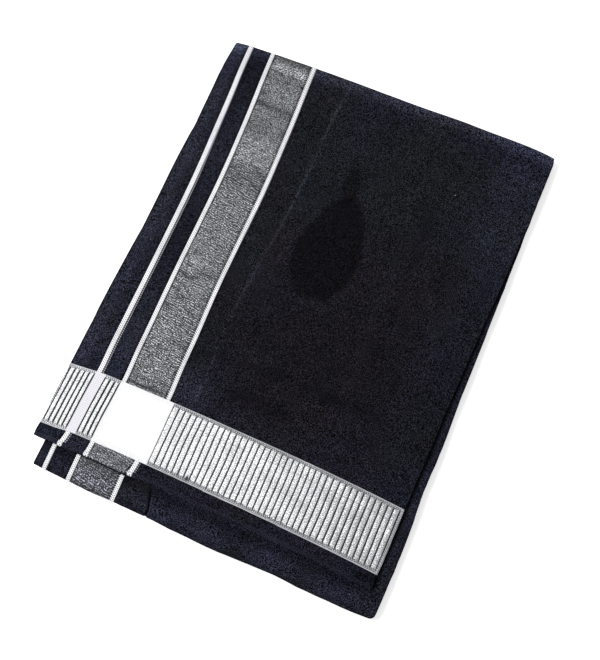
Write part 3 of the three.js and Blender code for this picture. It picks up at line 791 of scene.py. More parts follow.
def second_relief(x, y):
    r = 0.09 * waves(x, y, 60, 61) + 0.05 * waves(x, y, 17, 62)
    near = smooth((-204 - y) / 4)
    d = (x - np.interp(-y, [207.5, 214, 223.5, 230], [-43.9, -41.6, -38.6, -38.9])) / 1.1
    r = r - 0.75 * np.exp(-d**2) * near
    for at, wide, rise in ((-97, 3.0, -0.16), (-84, 2.0, 0.16), (-60, 4.0, 0.14), (-12, 3.4, 0.14), (6, 2.2, -0.15), (33, 4.0, 0.15),
                           (61, 2.6, -0.22), (83, 4.5, -0.20), (104, 3.0, 0.16), (131, 3.4, -0.14), (-128, 2.4, 0.12)):
        lean = x - at - 0.25 * (y + 218)
        r = r + rise * np.exp(-(lean / wide) ** 2) * near
    left, right = STACK_CURVES[0](y), STACK_CURVES[4](y)
    r = r * smooth((x - left) / 5) * smooth((right - x) / 5)
    # a soft crease beside the right fold
    r = r - 0.30 * np.exp(-((x - right + 3.2 + 0.4 * wobble(y, 70, 66)) / 1.1) ** 2) * (0.6 + 0.4 * wobble(y, 45, 67))
    return r * smooth((y + 240) / 8)


def second_rows():
    ys = np.concatenate([np.linspace(FAR_AXIS - 0.3, -190, 60), np.linspace(-190, NEAR_AXIS, 26)[1:]])
    rows = [(float(y), SECOND_MIDDLE, 0.0, float(y)) for y in ys[:-1]]
    rows += fold_rows(NEAR_AXIS, SECOND_MIDDLE, -1, np.arange(0, 180.1, 9), NEAR_AXIS)
    last = rows[-1]
    for t in (0.25, 0.5, 0.75, 1.0):
        rows.append((NEAR_AXIS + t * (TUCK + 4.6), last[1], 180.0, last[3] - t * (TUCK + 4.6)))
    return rows


def second_tops(l, s1, s2, s3, r):
    return np.concatenate([
        steps(l, s1, 6)[:, :-1], steps(s1, s1 + STRIPE, 3)[:, :-1], steps(s1 + STRIPE, s2, 9)[:, :-1],
        steps(s2, s2 + STRIPE, 3)[:, :-1], steps(s2 + STRIPE, s3, 16)[:, :-1], steps(s3, s3 + STRIPE, 3)[:, :-1],
        steps(s3 + STRIPE, np.full_like(l, -48.0), 16)[:, :-1], steps(np.full_like(l, -48.0), np.full_like(l, -34.0), 32)[:, :-1],
        steps(np.full_like(l, -34.0), np.full_like(l, 150.0), 66)[:, :-1], steps(np.full_like(l, 150.0), r, 34)], 1)


SECOND_PATH = second_rows()
(st, sx, sy, se, sc), (sb, sbx, sby, sbe, sbc) = length_grids(SECOND_PATH, STACK_CURVES, second_relief, second_point, 150, second_tops, coarse)
pts, faces = shell(st, sb)
turned2 = np.array([r[2] for r in SECOND_PATH])[:, None] + 0 * sx
# along the near strip: a little darker below the top length's hem, and lighter towards the near fold, a painted sheen
# where the cloth rounds over
g2 = (0.98 + 0.08 * waves(sx, sy, 40, 71)) * curve([-232, -229, -226, -223, -220, -217, -212, -206], [0.80, 0.90, 1.10, 1.30, 1.36, 1.18, 0.86, 0.95])(sy)
# painted shade where the cloth turns down round the near fold and under
g2 = g2 * (1 - 0.55 * smooth((turned2 - 25) / 25))
# painted shadow in the gap beside the top length's right edge, and under its hem; out past the gap it is a little
# lighter
open_gap = FLAP_CURVES[4](np.clip(sy, HEM_EDGE, 206)) + 1.0
g2 = g2 * (1 - 0.72 * np.exp(-((sx - open_gap) / 1.9) ** 4) * smooth((sy + 214) / 10))
g2 = g2 * (1 + 0.12 * smooth((sx - 161.5) / 2) * smooth((sy + 214) / 10))
hem_painted_shadow = np.exp(-((sy + 207.5) / 3.0) ** 2) * (sx < 158)
g2 = g2 * (1 - 0.35 * hem_painted_shadow)
# painted shade beside the raised stripes, and along both side folds
for at in (STACK_CURVES[1](sy), STACK_CURVES[1](sy) + STRIPE, STACK_CURVES[2](sy), STACK_CURVES[3](sy) + STRIPE):
    g2 = g2 * (1 - 0.45 * np.exp(-((sx - at) / 1.4) ** 2))
g2 = g2 * (1 - 0.50 * np.exp(-((sx - STACK_CURVES[0](sy)) / 1.3) ** 2)) * (1 - 0.40 * np.exp(-((sx - STACK_CURVES[4](sy)) / 1.2) ** 2))
# the crease near x = -40: painted shade in it and a painted highlight on its right side
d = (sx - np.interp(-sy, [207.5, 214, 223.5, 230], [-43.9, -41.6, -38.6, -38.9])) / 0.95
g2 = g2 * (1 - 0.97 * np.exp(-(d / 1.25) ** 4) * smooth((-205 - sy) / 4)) * (1 + 0.5 * np.exp(-(d - 2.2) ** 2) * smooth((-205 - sy) / 4))
b2 = np.clip(0.80 + 0.15 * waves(sx, sy, 50, 72), 0, 1)
shade_t = np.stack([g2, b2, 0 * g2], -1)
shade_b = np.stack([0 * sbx + 1.0, 0 * sbx + 0.5, 0 * sbx], -1)
second_length = place(mesh_object("lungi_second_length", pts, faces, {"cloth": both(sc, sbc), "shade": both(shade_t, shade_b)}, [COTTON]),
                      "black_cotton", "second_length")


# ---- hidden lengths: rings at rising heights, with every ply's edge

LENGTH_Z = [(0.0, 2.0), (2.45, 4.45), (4.9, 6.9)]


def side_inset(z, left):
    """Plies' edges on one side at a height, as insets: thin, fold, thin on the
    left, and two folds on the right, with a deep gap between two lengths."""
    for k, (z0, z1) in enumerate(LENGTH_Z):
        if z0 - 1e-6 <= z <= z1 + 1e-6:
            t = z - z0
            lobes = [(0.25, 0.25), (1.0, 0.5), (1.75, 0.25)] if left else [(0.5, 0.5), (1.5, 0.5)]
            c, r = min(lobes, key=lambda q: max(0, abs(t - q[0]) - q[1]))
            d = min(1.0, abs(t - c) / r)
            return k, lobes.index((c, r)), r * (1 - math.sqrt(max(0.0, 1 - 0.93 * d * d)))
    return None, 0, 3.2


def hidden_ring(z, extra, per):
    """One ring of the hidden lengths, counter-clockwise from the near middle."""
    n_half, n_corner, n_side = per
    near = 0.0
    y0 = NEAR_AXIS - FOLD_RADIUS - HALF
    y1 = FAR_AXIS + FOLD_RADIUS + HALF
    if z <= 4.46:
        d = (z - 2.225) / 2.225
        near = 0.6 + 2.225 * (1 - math.sqrt(max(0.0, 1 - 0.96 * d * d)))
        if abs(z - 2.225) < 0.05:
            near += 0.05
    elif z < 4.9:
        near = 8.0
    else:
        near = 17.2
    if z < 2.2:
        far = 9.0 + (0.4 if z < 0.3 or z > 1.8 else 0.0)
    elif z < 2.44:
        far = 11.0
    else:
        d = (z - 4.675) / 2.225
        far = 0.6 + 2.225 * (1 - math.sqrt(max(0.0, 1 - 0.96 * d * d)))
    ya, yb = y0 + near + extra, y1 - far - extra
    corner = 3.4

    def side_x(y, right):
        k, lobe, inset = side_inset(z, not right)
        base = STACK_CURVES[4](y) + 0.2 if right else STACK_CURVES[0](y)
        if k is not None:
            seed = 200 + 20 * k + 5 * lobe + (100 if right else 0)
            inset = inset + 0.25 + np.clip(0.35 * wobble(y, 75, seed) + 0.15 * wobble(y, 19, seed + 1), -0.45, 1.1)
            inset = inset + (0.5 if k == 1 else 0.0)
        return base - inset - extra if right else base + inset + extra
    out = []
    for right in (True, False):
        sgn = 1 if right else -1
        xa = float(side_x(np.array([ya + corner]), right)[0]) - sgn * corner
        xb = float(side_x(np.array([yb - corner]), right)[0]) - sgn * corner
        mid_a, mid_b = 8.0, 0.0
        half = [(mid_a + (xa - mid_a) * (i + 0.5) / n_half, ya) for i in range(n_half)]
        half += [(xa + sgn * corner * math.sin(math.pi / 2 * (i + 0.5) / n_corner), ya + corner * (1 - math.cos(math.pi / 2 * (i + 0.5) / n_corner))) for i in range(n_corner)]
        ys = np.linspace(ya + corner, yb - corner, n_side)
        half += list(zip(side_x(ys, right), ys))
        half += [(xb + sgn * corner * math.cos(math.pi / 2 * (i + 0.5) / n_corner), yb - corner * (1 - math.sin(math.pi / 2 * (i + 0.5) / n_corner))) for i in range(n_corner)]
        half += [(mid_b + (xb - mid_b) * (i + 0.5) / n_half, yb) for i in range(n_half - 1, -1, -1)]
        out.append(half)
    ring = np.array(out[0] + out[1][::-1], float)
    wave = 0.22 * wobble(ring[:, 0], 70, 301 + int(z / 2.45)) * (1 - extra / 20)
    ring[:, 1] += np.where(ring[:, 1] < -200, wave, 0) + np.where(ring[:, 1] > 180, wave, 0)
    return ring


def hidden_levels():
    zs = []
    for z0, z1 in LENGTH_Z:
        zs += [z0 + t for t in (0.0, 0.06, 0.16, 0.28, 0.40, 0.47, 0.53, 0.62, 0.78, 1.0, 1.22, 1.38, 1.47, 1.53, 1.6, 1.72, 1.84, 1.94, 2.0)]
        if z1 < 6:
            zs += [z1 + 0.04, z1 + 0.225, z1 + 0.41]
    return [(z, 0.0) for z in zs] + [(6.9, e) for e in (2.0, 5.0, 9.0, 14.0, 20.0, 30.0)]


PER = (50, 6, 96)
levels = hidden_levels()
rings = [hidden_ring(z, e, PER) for z, e in levels]
n = len(rings[0])
pts = np.concatenate([on_stack(r[:, 0], r[:, 1], np.full(n, z)) for r, (z, _) in zip(rings, levels)])
# the underside is one level face, and the top closes between its two sides
faces = []
for j in range(len(rings) - 1):
    a = j * n + np.arange(n)
    b = j * n + (np.arange(n) + 1) % n
    faces += np.stack([a, b, b + n, a + n], -1).tolist()
h = n // 2
last = (len(rings) - 1) * n
for i in range(h - 1):
    a, b, c, d4 = i, i + 1, n - 2 - i, n - 1 - i
    faces.append([a, d4, c, b])
    faces.append([last + a, last + b, last + c, last + d4])
flat_ring = np.concatenate(rings)
lev = np.repeat([z for z, _ in levels], n)
cloth = np.stack([flat_ring[:, 0] + 0.3 * lev, flat_ring[:, 1], lev * 1.3], -1)
g = 1.0 + 0.08 * wobble(flat_ring[:, 1], 60, 340)
shade = np.stack([g, np.full(len(g), 0.6), 0 * g], -1)
hidden = place(mesh_object("lungi_hidden_lengths", pts, faces, {"cloth": cloth, "shade": shade}, [COTTON]),
               "black_cotton", "hidden_lengths")

# ------------------------------------------------------------------ border


def ribbon(name, look, slot_name, rows, curves, relief, point, sides, columns, lift, values, nodes, sink=0.25, sharp=60):
    """A woven band on a length: a thin closed shell whose top stands lift above
    the cloth and whose back is sunk in it."""
    y = np.array([r[0] for r in rows])
    z = np.array([r[1] for r in rows])[:, None]
    turn = np.radians(np.array([r[2] for r in rows]))[:, None]
    run = np.array([r[3] for r in rows])[:, None]
    x0, x1 = sides(y, *[c(y) for c in curves], run[:, 0])
    s = np.asarray(columns, float)[None, :]
    x = x0[:, None] * (1 - s) + x1[:, None] * s
    yy = y[:, None] + 0 * x
    across = x - x0[:, None]
    up = relief(x, yy) + lift(s + 0 * x, across, run + 0 * x)
    top = point(x, HALF + up, yy, z + 0 * x, turn + 0 * x)
    sb_ = np.array([[0.0, 0.5, 1.0]])
    xb_ = x0[:, None] * (1 - sb_) + x1[:, None] * sb_
    yb_ = y[:, None] + 0 * xb_
    bottom = point(xb_, HALF + relief(xb_, yb_) - sink, yb_, z + 0 * xb_, turn + 0 * xb_)
    pts_, faces_ = shell(top, bottom)
    vt = values(x, yy, across, run + 0 * x)
    vb = values(xb_, yb_, xb_ - x0[:, None], run + 0 * xb_)
    vals = {key: both(vt[key], vb[key]) for key in vt}
    return place(mesh_object(name, pts_, faces_, vals, [look], sharp=sharp), slot_name, *nodes)


STRIPE_COLUMNS = (0, 0.03, 0.10, 0.22, 0.36, 0.5, 0.64, 0.78, 0.90, 0.97, 1.0)


def stripe_lift(s, across, run):
    dome = 0.34 * (1 - np.abs(2 * s - 1) ** 5)
    a = np.sin(2 * math.pi * (run + 0.70 * across) / 1.95) * np.sin(2 * math.pi * (run - 0.70 * across) / 1.95)
    return dome - 0.02 + 0.05 * a * (s > 0.02) * (s < 0.98)


def ladder_lift(s, across, run):
    body = 0.34 * (1 - np.clip(np.abs(across / 4.4 * 2 - 1), 0, 1) ** 5)
    body = body + 0.05 * np.sin(2 * math.pi * (run + 0.70 * across) / 1.95) * np.sin(2 * math.pi * (run - 0.70 * across) / 1.95)
    thread = 0.24 * np.exp(-((across - 5.60) / 0.45) ** 4)
    return np.maximum(body * (across < 4.4), thread) + 0.02


def stripe_values(dot, shine=lambda x, y: 1.0 + 0 * x):
    def values(x, y, across, run):
        return {"stripe": np.stack([across, run, np.full_like(x, dot)], -1),
                "shade": np.stack([shine(x, y), 0 * x, 0 * x], -1)}
    return values


def border_rows(y_from, y_to, spacing, fold=None):
    """Rows of a band on the flap, from one y to another or over the far fold."""
    if fold is None:
        k = max(2, int(abs(y_to - y_from) / spacing))
        return flap_rows(np.linspace(y_from, y_to, k + 1))
    k = int((FAR_AXIS - y_from) / spacing)
    return flap_rows(np.linspace(y_from, FAR_AXIS, k + 1)[:-1]) + fold_rows(FAR_AXIS, FLAP_MIDDLE, 1, np.arange(0, fold + 0.1, 7.5), FAR_AXIS)


def near_rows(y_from, spacing, fold):
    k = int((y_from - NEAR_AXIS) / spacing)
    rows = [(float(y), SECOND_MIDDLE, 0.0, float(y)) for y in np.linspace(y_from, NEAR_AXIS, k + 1)[:-1]]
    return rows + fold_rows(NEAR_AXIS, SECOND_MIDDLE, -1, np.arange(0, fold + 0.1, 7.5), NEAR_AXIS)


TOP_ROWS = border_rows(BAND_FAR - 0.8, None, 0.49, fold=150)
END_ROWS = border_rows(HEM_SEAM - 0.1, BAND_NEAR + 0.8, 0.49)
ZARI_ROWS = border_rows(BAND_FAR - 0.6, None, 0.8, fold=150)
ZARI_END_ROWS = border_rows(HEM_SEAM - 0.1, BAND_NEAR + 0.6, 0.6)


def bow_hem_y(x):
    return HEM_EDGE + BOW_HEM * bulge(x) + 1.2


def serrate(run, amount, pitch=1.95, shift=0.0):
    return amount * (0.5 + 0.5 * np.sin(2 * math.pi * run / pitch + shift))


def sides_of(k, cut=0.0, cut_from=None):
    def sides(y, left, s1, s2, s3, right, run):
        s = (s1, s2, s3)[k]
        amount = cut if cut_from is None else cut * smooth((y - cut_from) / 30)
        return s + serrate(run, 0.32, shift=1.0), s + STRIPE + 0.9 * amount - serrate(run, 0.30 + amount)
    return sides


def ladder_sides(y, left, s1, s2, s3, right, run):
    thin = smooth((y - 40) / 120)
    return s1 + serrate(run, 0.30, shift=1.0), s1 + 6.3 - 0.8 * thin - serrate(run, 0.25 + 0.45 * thin)


def zari_sides(y, left, s1, s2, s3, right, run):
    return s2 + STRIPE + 0.25, s3 - 0.25


def zari_end_sides(y, left, s1, s2, s3, right, run):
    """It draws in from the third stripe towards the hem."""
    return s2 + STRIPE + 0.25, s3 - 0.25 - 1.9 * smooth((-194.5 - y) / 9)


def ladder_3_sides(y, left, s1, s2, s3, right, run):
    return s3 + serrate(run, 0.30, shift=1.0), s3 + 6.0 - serrate(run, 0.25)


def zari_lift(s, across, run):
    return 0.12 * (1 - np.abs(2 * s - 1) ** 14) + 0.015 * np.sin(across * 2.1 + run * 0.9)


# The silver's painted light and shade: its bands of light along the packet, and its creases: two ends (x, y),
# half width, and how much lighter or darker it is painted there
ZARI_PAINTED_LIGHT = curve([-210, -134, -110, -60, 10, 62, 84, 97, 113, 135, 160, 179, 188, 200, 208],
                   [0.87, 0.72, 0.78, 0.78, 0.85, 0.79, 0.62, 0.97, 1.06, 0.71, 0.85, 0.86, 0.72, 1.14, 0.32])
ZARI_CREASE_LIGHT = [
    (-116, 201, -104, 194.5, 2.6, 1.35), (-98, 202, -84, 197, 2.8, 1.42), (-120, 194.3, -106, 191.6, 1.4, 0.58), (-106, 192, -83, 193, 1.3, 0.85),
    (-110, 178, -98, 166, 3.2, 1.14), (-93, 176, -81, 160, 3.0, 1.15), (-117.5, 171, -106, 164.5, 1.6, 0.68), (-117, 158.6, -98, 156.6, 2.8, 0.52),
    (-98, 156.6, -77, 157.2, 2.4, 0.60), (-93, 152.5, -77, 151.5, 2.6, 0.80), (-106, 147, -99, 146, 4.5, 1.1), (-113, 134, -99, 126, 4.4, 0.80),
    (-108, 120.4, -91, 117.6, 0.9, 1.30), (-110, 121.5, -95, 122.5, 1.2, 0.80), (-108, 108, -90, 104, 3.0, 1.10), (-94, 98, -74, 86, 3.0, 0.76),
    (-112, 91, -98, 84, 2.0, 0.78), (-92, 83, -73, 76, 1.5, 0.68), (-109, 63.6, -73, 60.8, 0.8, 1.38), (-109, 65.6, -75, 63.0, 0.9, 0.80),
    (-108, 34, -92, 30, 1.6, 0.86), (-92, 14, -72, 8, 1.8, 0.88), (-108.5, -20.0, -100, -25.0, 1.5, 0.40), (-100, -25.0, -91, -20.8, 1.5, 0.55),
    (-91, -17.0, -73, -15.4, 1.3, 0.62), (-106, -10, -78, -7, 3.4, 1.10), (-107, -37, -92, -48, 2.2, 0.72), (-95, -33, -82, -40, 2.0, 1.12),
    (-108.5, -55.0, -98, -56.6, 1.3, 0.60), (-90, -50, -72, -60, 2.2, 0.86), (-86, -62, -71, -70, 1.2, 0.84), (-89, -81, -68, -86.5, 3.2, 0.80),
    (-105, -70, -90, -76, 3.0, 1.10), (-104, -99, -88, -103, 2.0, 0.90), (-90, -110, -67, -114, 2.6, 1.08), (-106, -123.5, -68, -121.5, 1.4, 0.84),
    (-105, -129.8, -69, -129.2, 1.7, 0.40), (-103, -198.6, -94, -192.6, 1.3, 0.70), (-98, -203, -88, -195, 1.6, 1.22), (-82, -203, -71, -194, 2.6, 0.78),
    (-92, -201, -84, -193.5, 1.1, 0.82)]
SECOND_ZARI_CREASE_LIGHT = [(-111, -207, -74, -206.5, 2.4, 0.62), (-108, -212, -76, -211, 2.4, 0.80), (-109, -219, -76, -221, 3.6, 1.16), (-110, -227.5, -75, -227.5, 2.0, 0.62)]
ZARI_ROWS_SHOW = curve([-230, -205, -134, -90, -60, -20, 30, 62, 80, 100, 125, 210], [0.9, 0.7, 0.6, 0.8, 0.9, 0.7, 0.75, 0.85, 0.85, 0.60, 0.30, 0.3])


# painted light and shade along the creases, as a factor on the silver's lightness
def painted_crease_light(x, y, creases):
    g = 1.0 + 0 * x
    for x0, y0, x1, y1, wide, by in creases:
        ux, uy = x1 - x0, y1 - y0
        t = ((x - x0) * ux + (y - y0) * uy) / (ux * ux + uy * uy)
        off = ((x - x0) * uy - (y - y0) * ux) / math.hypot(ux, uy)
        off = off + 0.35 * waves(x, y, 11, int(abs(y0)) + 5)
        g = g * (1 + (by ** (1.7 if by < 1 else 1.25) - 1) * np.exp(-(off / wide) ** 2) * smooth((t + 0.12) / 0.24) * smooth((1.12 - t) / 0.24))
    return g


def zari_values(curves, seed, level=1.0, blue=0.0, creases=ZARI_CREASE_LIGHT):
    def values(x, y, across, run):
        wide = 39.0
        bow = (BOW_HEM + (BOW_FAR - BOW_HEM) * np.clip((y - HEM_EDGE) / FLAP_LENGTH, 0, 1)) * bulge(x) if curves is FLAP_CURVES else 0.0
        # tone: the painted light and shade of the bands and creases, times the length's own level
        tone = ZARI_PAINTED_LIGHT(run + bow) * (1 + 0.05 * waves(x, y, 14, seed)) * painted_crease_light(x, y + bow, creases) * level
        edge = smooth(across / 1.3) * smooth((wide + 1.0 - across) / 1.3)
        return {"cloth": np.stack([straight(x, y, curves), run, 0 * x + seed], -1),
                "shade": np.stack([tone * (0.66 + 0.34 * edge), 0 * x + blue, ZARI_ROWS_SHOW(run)], -1)}
    return values


ZARI_COLUMNS = np.concatenate([[0, 0.008, 0.02], np.linspace(0.04, 0.96, 30), [0.98, 0.992, 1]])
LADDER_COLUMNS = (0, 0.02, 0.08, 0.2, 0.36, 0.5, 0.62, 0.69, 0.73, 0.78, 0.84, 0.88, 0.92, 0.96, 1.0)

far_shine = lambda x, y: 1.0 + 0.05 * wobble(y[:, 0], 40, 91)[:, None] + 0 * x
ribbon("lungi_top_stripe_1", WHITE_LADDER, "white_stripe", TOP_ROWS, FLAP_CURVES, flap_relief, flap_point, ladder_sides,
                     LADDER_COLUMNS, ladder_lift, stripe_values(-9.0, far_shine), ["top_stripe_1"])
ribbon("lungi_end_stripe_1", WHITE_LADDER, "white_stripe", END_ROWS, FLAP_CURVES, flap_relief, flap_point, ladder_sides,
                     LADDER_COLUMNS, ladder_lift, stripe_values(-9.0, far_shine), ["end_stripe_1"])
ribbon("lungi_top_stripe_2", WHITE, "white_stripe", TOP_ROWS, FLAP_CURVES, flap_relief, flap_point, sides_of(1),
                     STRIPE_COLUMNS, stripe_lift, stripe_values(4.35, far_shine), ["top_stripe_2"])
ribbon("lungi_end_stripe_2", WHITE, "white_stripe", END_ROWS, FLAP_CURVES, flap_relief, flap_point, sides_of(1),
                     STRIPE_COLUMNS, stripe_lift, stripe_values(4.35, far_shine), ["end_stripe_2"])
ribbon("lungi_top_stripe_3", WHITE, "white_stripe", TOP_ROWS, FLAP_CURVES, flap_relief, flap_point, sides_of(2, 0.80, 10),
                     STRIPE_COLUMNS, stripe_lift, stripe_values(0.05, far_shine), ["top_stripe_3"])
ribbon("lungi_end_stripe_3", WHITE_LADDER, "white_stripe", END_ROWS, FLAP_CURVES, flap_relief, flap_point, ladder_3_sides,
                     LADDER_COLUMNS, ladder_lift, stripe_values(-9.0, far_shine), ["end_stripe_3"])
ribbon("lungi_top_zari_band", ZARI, "silver_zari", ZARI_ROWS, FLAP_CURVES, flap_relief, flap_point, zari_sides,
                     ZARI_COLUMNS, zari_lift, zari_values(FLAP_CURVES, 5), ["top_zari_band"])
ribbon("lungi_end_zari_band", ZARI, "silver_zari", ZARI_END_ROWS, FLAP_CURVES, flap_relief, flap_point, zari_end_sides,
                     ZARI_COLUMNS, zari_lift, zari_values(FLAP_CURVES, 6, 0.84, 0.5), ["end_zari_band"])

NEAR_START = HEM_EDGE + 4.0
for k, (name, dot) in enumerate((("stripe_1", 4.35), ("stripe_2", 4.35), ("stripe_3", 0.05))):
    ribbon(f"lungi_second_{name}", WHITE, "white_stripe", near_rows(NEAR_START, 0.49, 165), STACK_CURVES, second_relief,
                                second_point, sides_of(k, 0.35 if k == 0 else 0.0), STRIPE_COLUMNS, stripe_lift, stripe_values(dot), [f"second_{name}"])
ribbon("lungi_second_zari_band", ZARI, "silver_zari", near_rows(NEAR_START, 0.7, 165), STACK_CURVES, second_relief,
                            second_point, zari_sides, ZARI_COLUMNS, zari_lift, zari_values(STACK_CURVES, 8, 0.66, 1.0, SECOND_ZARI_CREASE_LIGHT), ["second_zari_band"])

# The border goes on round the two hidden folds, one at each end of the packet.


def hidden_far_point(x, e, y, z, turn):
    return on_stack(x, y + e * np.sin(turn), z + e * np.cos(turn))


def hidden_far_relief(x, y):
    return 0.22 * np.maximum(wobble(x, 70, 302), wobble(x, 70, 303)) + 0.04


def hidden_near_relief(x, y):
    return 0.22 * np.maximum(-wobble(x, 70, 301), -wobble(x, 70, 302)) + 0.04


FAR_NOSE = fold_rows(204.7, 5.9, 1, np.arange(20, 160.1, 5), FAR_AXIS)
NEAR_NOSE = fold_rows(-226.5, 3.45, -1, np.arange(20, 128, 5), NEAR_AXIS)
for end, nose, relief, point in (("far", FAR_NOSE, hidden_far_relief, hidden_far_point), ("near", NEAR_NOSE, hidden_near_relief, second_point)):
    for k, dot in enumerate((4.35, 4.35, 0.05)):
        ribbon(f"lungi_hidden_{end}_stripe_{k + 1}", WHITE, "white_stripe", nose, STACK_CURVES, relief, point, sides_of(k),
               STRIPE_COLUMNS, stripe_lift, stripe_values(dot), [], sink=0.7)
    ribbon(f"lungi_hidden_{end}_zari_band", ZARI, "silver_zari", nose, STACK_CURVES, relief, point, zari_sides,
           ZARI_COLUMNS, zari_lift, zari_values(STACK_CURVES, 9, 0.66, 1.0, ()), [], sink=0.7)

# ------------------------------------------------------------------ hem

# The flap's cut end: the top ply's rolled hem with its row of stitches, and the
# ends of the three plies under it, each a little short of or past the next.


def hem_profile(n):
    """Gives back what it is given; nothing calls it."""
    return n


def build_hem():
    left, s1, s2, s3, right = (float(c(np.array([HEM_EDGE]))[0]) for c in FLAP_CURVES)
    xs = [left + 0.25]
    for a, b, k in ((left + 0.6, s1, 20), (s1, s1 + STRIPE, 5), (s1 + STRIPE, s2, 16), (s2, s2 + STRIPE, 5), (s2 + STRIPE, s3, 34),
                    (s3, s3 + STRIPE, 5), (s3 + STRIPE, right - 0.6, 180)):
        xs += list(np.linspace(a, b, k + 1)[:-1])
    xs += [right - 0.6, right - 0.25]
    xs = np.array(xs)
    ends = np.ones(len(xs))
    ends[0] = ends[-1] = 0.55
    first = curve([-161, -150, -136, -126, -111, -90, -66, -50], [0.0, -0.2, -0.9, -0.7, -0.3, -0.5, -0.7, 0.0])(xs) + 0.10 * wobble(xs, 9, 402)
    out = smooth((xs + 142) / 6) * smooth((-50 - xs) / 12) * curve([-142, -120, -100, -70, -58], [0.6, 1.15, 1.3, 1.7, 1.5])(xs)
    fronts = [first + 0.35 * wobble(xs, 45, 401) * smooth((xs + 50) / 20),
              0.8 + 0.35 * wobble(xs, 60, 403) * (1 - out / 1.7) - 1.6 * out, 0.4 + 0.35 * wobble(xs, 50, 404), 0.9 + 0.35 * wobble(xs, 70, 405)]
    top_e = [0.35, -0.05, -0.5, -0.95]          # the plies' middles at the end
    half_e = [0.62, 0.30, 0.26, 0.24]
    along, e = [], []
    # over the top, from the back of the hem to its front
    for a_, e_ in ((4.6, 0.92), (4.0, 0.98), (3.75, 1.04), (3.45, 1.20), (3.0, 1.30), (2.2, 1.33), (1.4, 1.31), (0.8, 1.22)):
        along.append(np.full(len(xs), a_)); e.append(e_ + 0.04 * wobble(xs, 7, 410 + int(a_ * 3)))
    for k in range(4):
        r = half_e[k]
        for deg in ((60, 20, -20, -60) if k == 0 else (50, 0, -50)):
            a = math.radians(deg)
            depth = 0.75 if k == 0 else 0.5
            along.append(fronts[k] + depth * (1 - math.cos(a))); e.append(top_e[k] + 0.95 * r * math.sin(a) + 0 * xs)
        if k < 3:
            along.append(np.maximum(fronts[k], fronts[k + 1]) + 0.9); e.append((top_e[k] - half_e[k] + top_e[k + 1] + half_e[k + 1]) / 2 + 0 * xs)
    along.append(np.full(len(xs), 4.6)); e.append(np.full(len(xs), -1.0))
    along, e = np.stack(along, 1), np.stack(e, 1)          # (stations, profile)
    sizes = ends[:, None]
    x = xs[:, None] + 0 * along
    y = HEM_EDGE + along
    z = FLAP_MIDDLE + e * sizes + (flap_relief(x, y) * 0.6 * (e > 0))
    p = on_flap(x, y, z)
    m = along.shape[1]
    nst = len(xs)
    idx = np.arange(nst * m).reshape(nst, m)
    faces_ = []
    for i in range(m):
        k = (i + 1) % m
        faces_ += np.stack([idx[:-1, i], idx[1:, i], idx[1:, k], idx[:-1, k]], -1).tolist()
    # ends
    for row in (idx[0], idx[-1]):
        fan = [[int(row[0]), int(row[i]), int(row[i + 1])] for i in range(1, m - 1)]
        faces_ += fan if row is idx[0] else [f[::-1] for f in fan]
    mats, slots = [COTTON, WHITE, ZARI], []
    def kind(xm, i):
        if i > 11:
            return 0
        for s in (s1, s2, s3):
            if s <= xm <= s + STRIPE:
                return 1
        return 2 if s2 + STRIPE < xm < s3 else 0
    pf = np.array([[f[0] // m, f[0] % m, f[1] // m] for f in faces_])
    for f0, i0, f1 in pf:
        slots.append(kind((xs[f0] + xs[min(nst - 1, max(f0, f1))]) / 2 + 1e-4, i0))
    cloth_ = np.stack([straight(x, y, FLAP_CURVES), HEM_EDGE - 2 + along + 1.2 * (1 - e), 0 * x + 2.0], -1).reshape(-1, 3)
    # painted shade: the hem's front is darker below the top of the roll, and the plies' ends under it darker still
    gain_ = (1.25 + 0.10 * wobble(x, 40, 420)) * np.where(e > 1.1, 1.0, np.where(e > 0.6, 0.9, 0.7))
    # a painted shadow under the hem's edge where it lies over the border
    gain_ = gain_ * np.where((e < 0.30) & (x > -142) & (x < -52), 0.35, 1.0)
    gain_ = gain_ * np.interp(x, [-160, -60, 100, 150, 158], [1.15, 1.0, 0.92, 0.70, 0.70])
    # stripes read their own across place
    st_ = np.stack([np.where(x > s3 - 2, x - s3, np.where(x > s2 - 2, x - s2, x - s1)), y + 1.2 * (1 - e), 0 * x - 9], -1).reshape(-1, 3)
    on_stripe = (((x >= s1) & (x <= s1 + STRIPE)) | ((x >= s2) & (x <= s2 + STRIPE)) | ((x >= s3) & (x <= s3 + STRIPE)))
    on_zari = (x > s2 + STRIPE) & (x < s3)
    # on the stripes and the silver too, the front below the roll's top is darker: painted shade
    gain_ = np.where(on_stripe, np.where(e > 1.0, 1.0, 0.8), np.where(on_zari, np.where(e > 1.0, 0.85, 0.55), gain_))
    shade_ = np.stack([gain_, 0 * x + 0.75, 0 * x], -1).reshape(-1, 3)
    o = mesh_object("lungi_top_hem", p.reshape(-1, 3), faces_, {"cloth": cloth_, "shade": shade_, "stripe": st_}, mats, slots, sharp=70)
    return place(o, "black_cotton", "top_hem")


hem = build_hem()


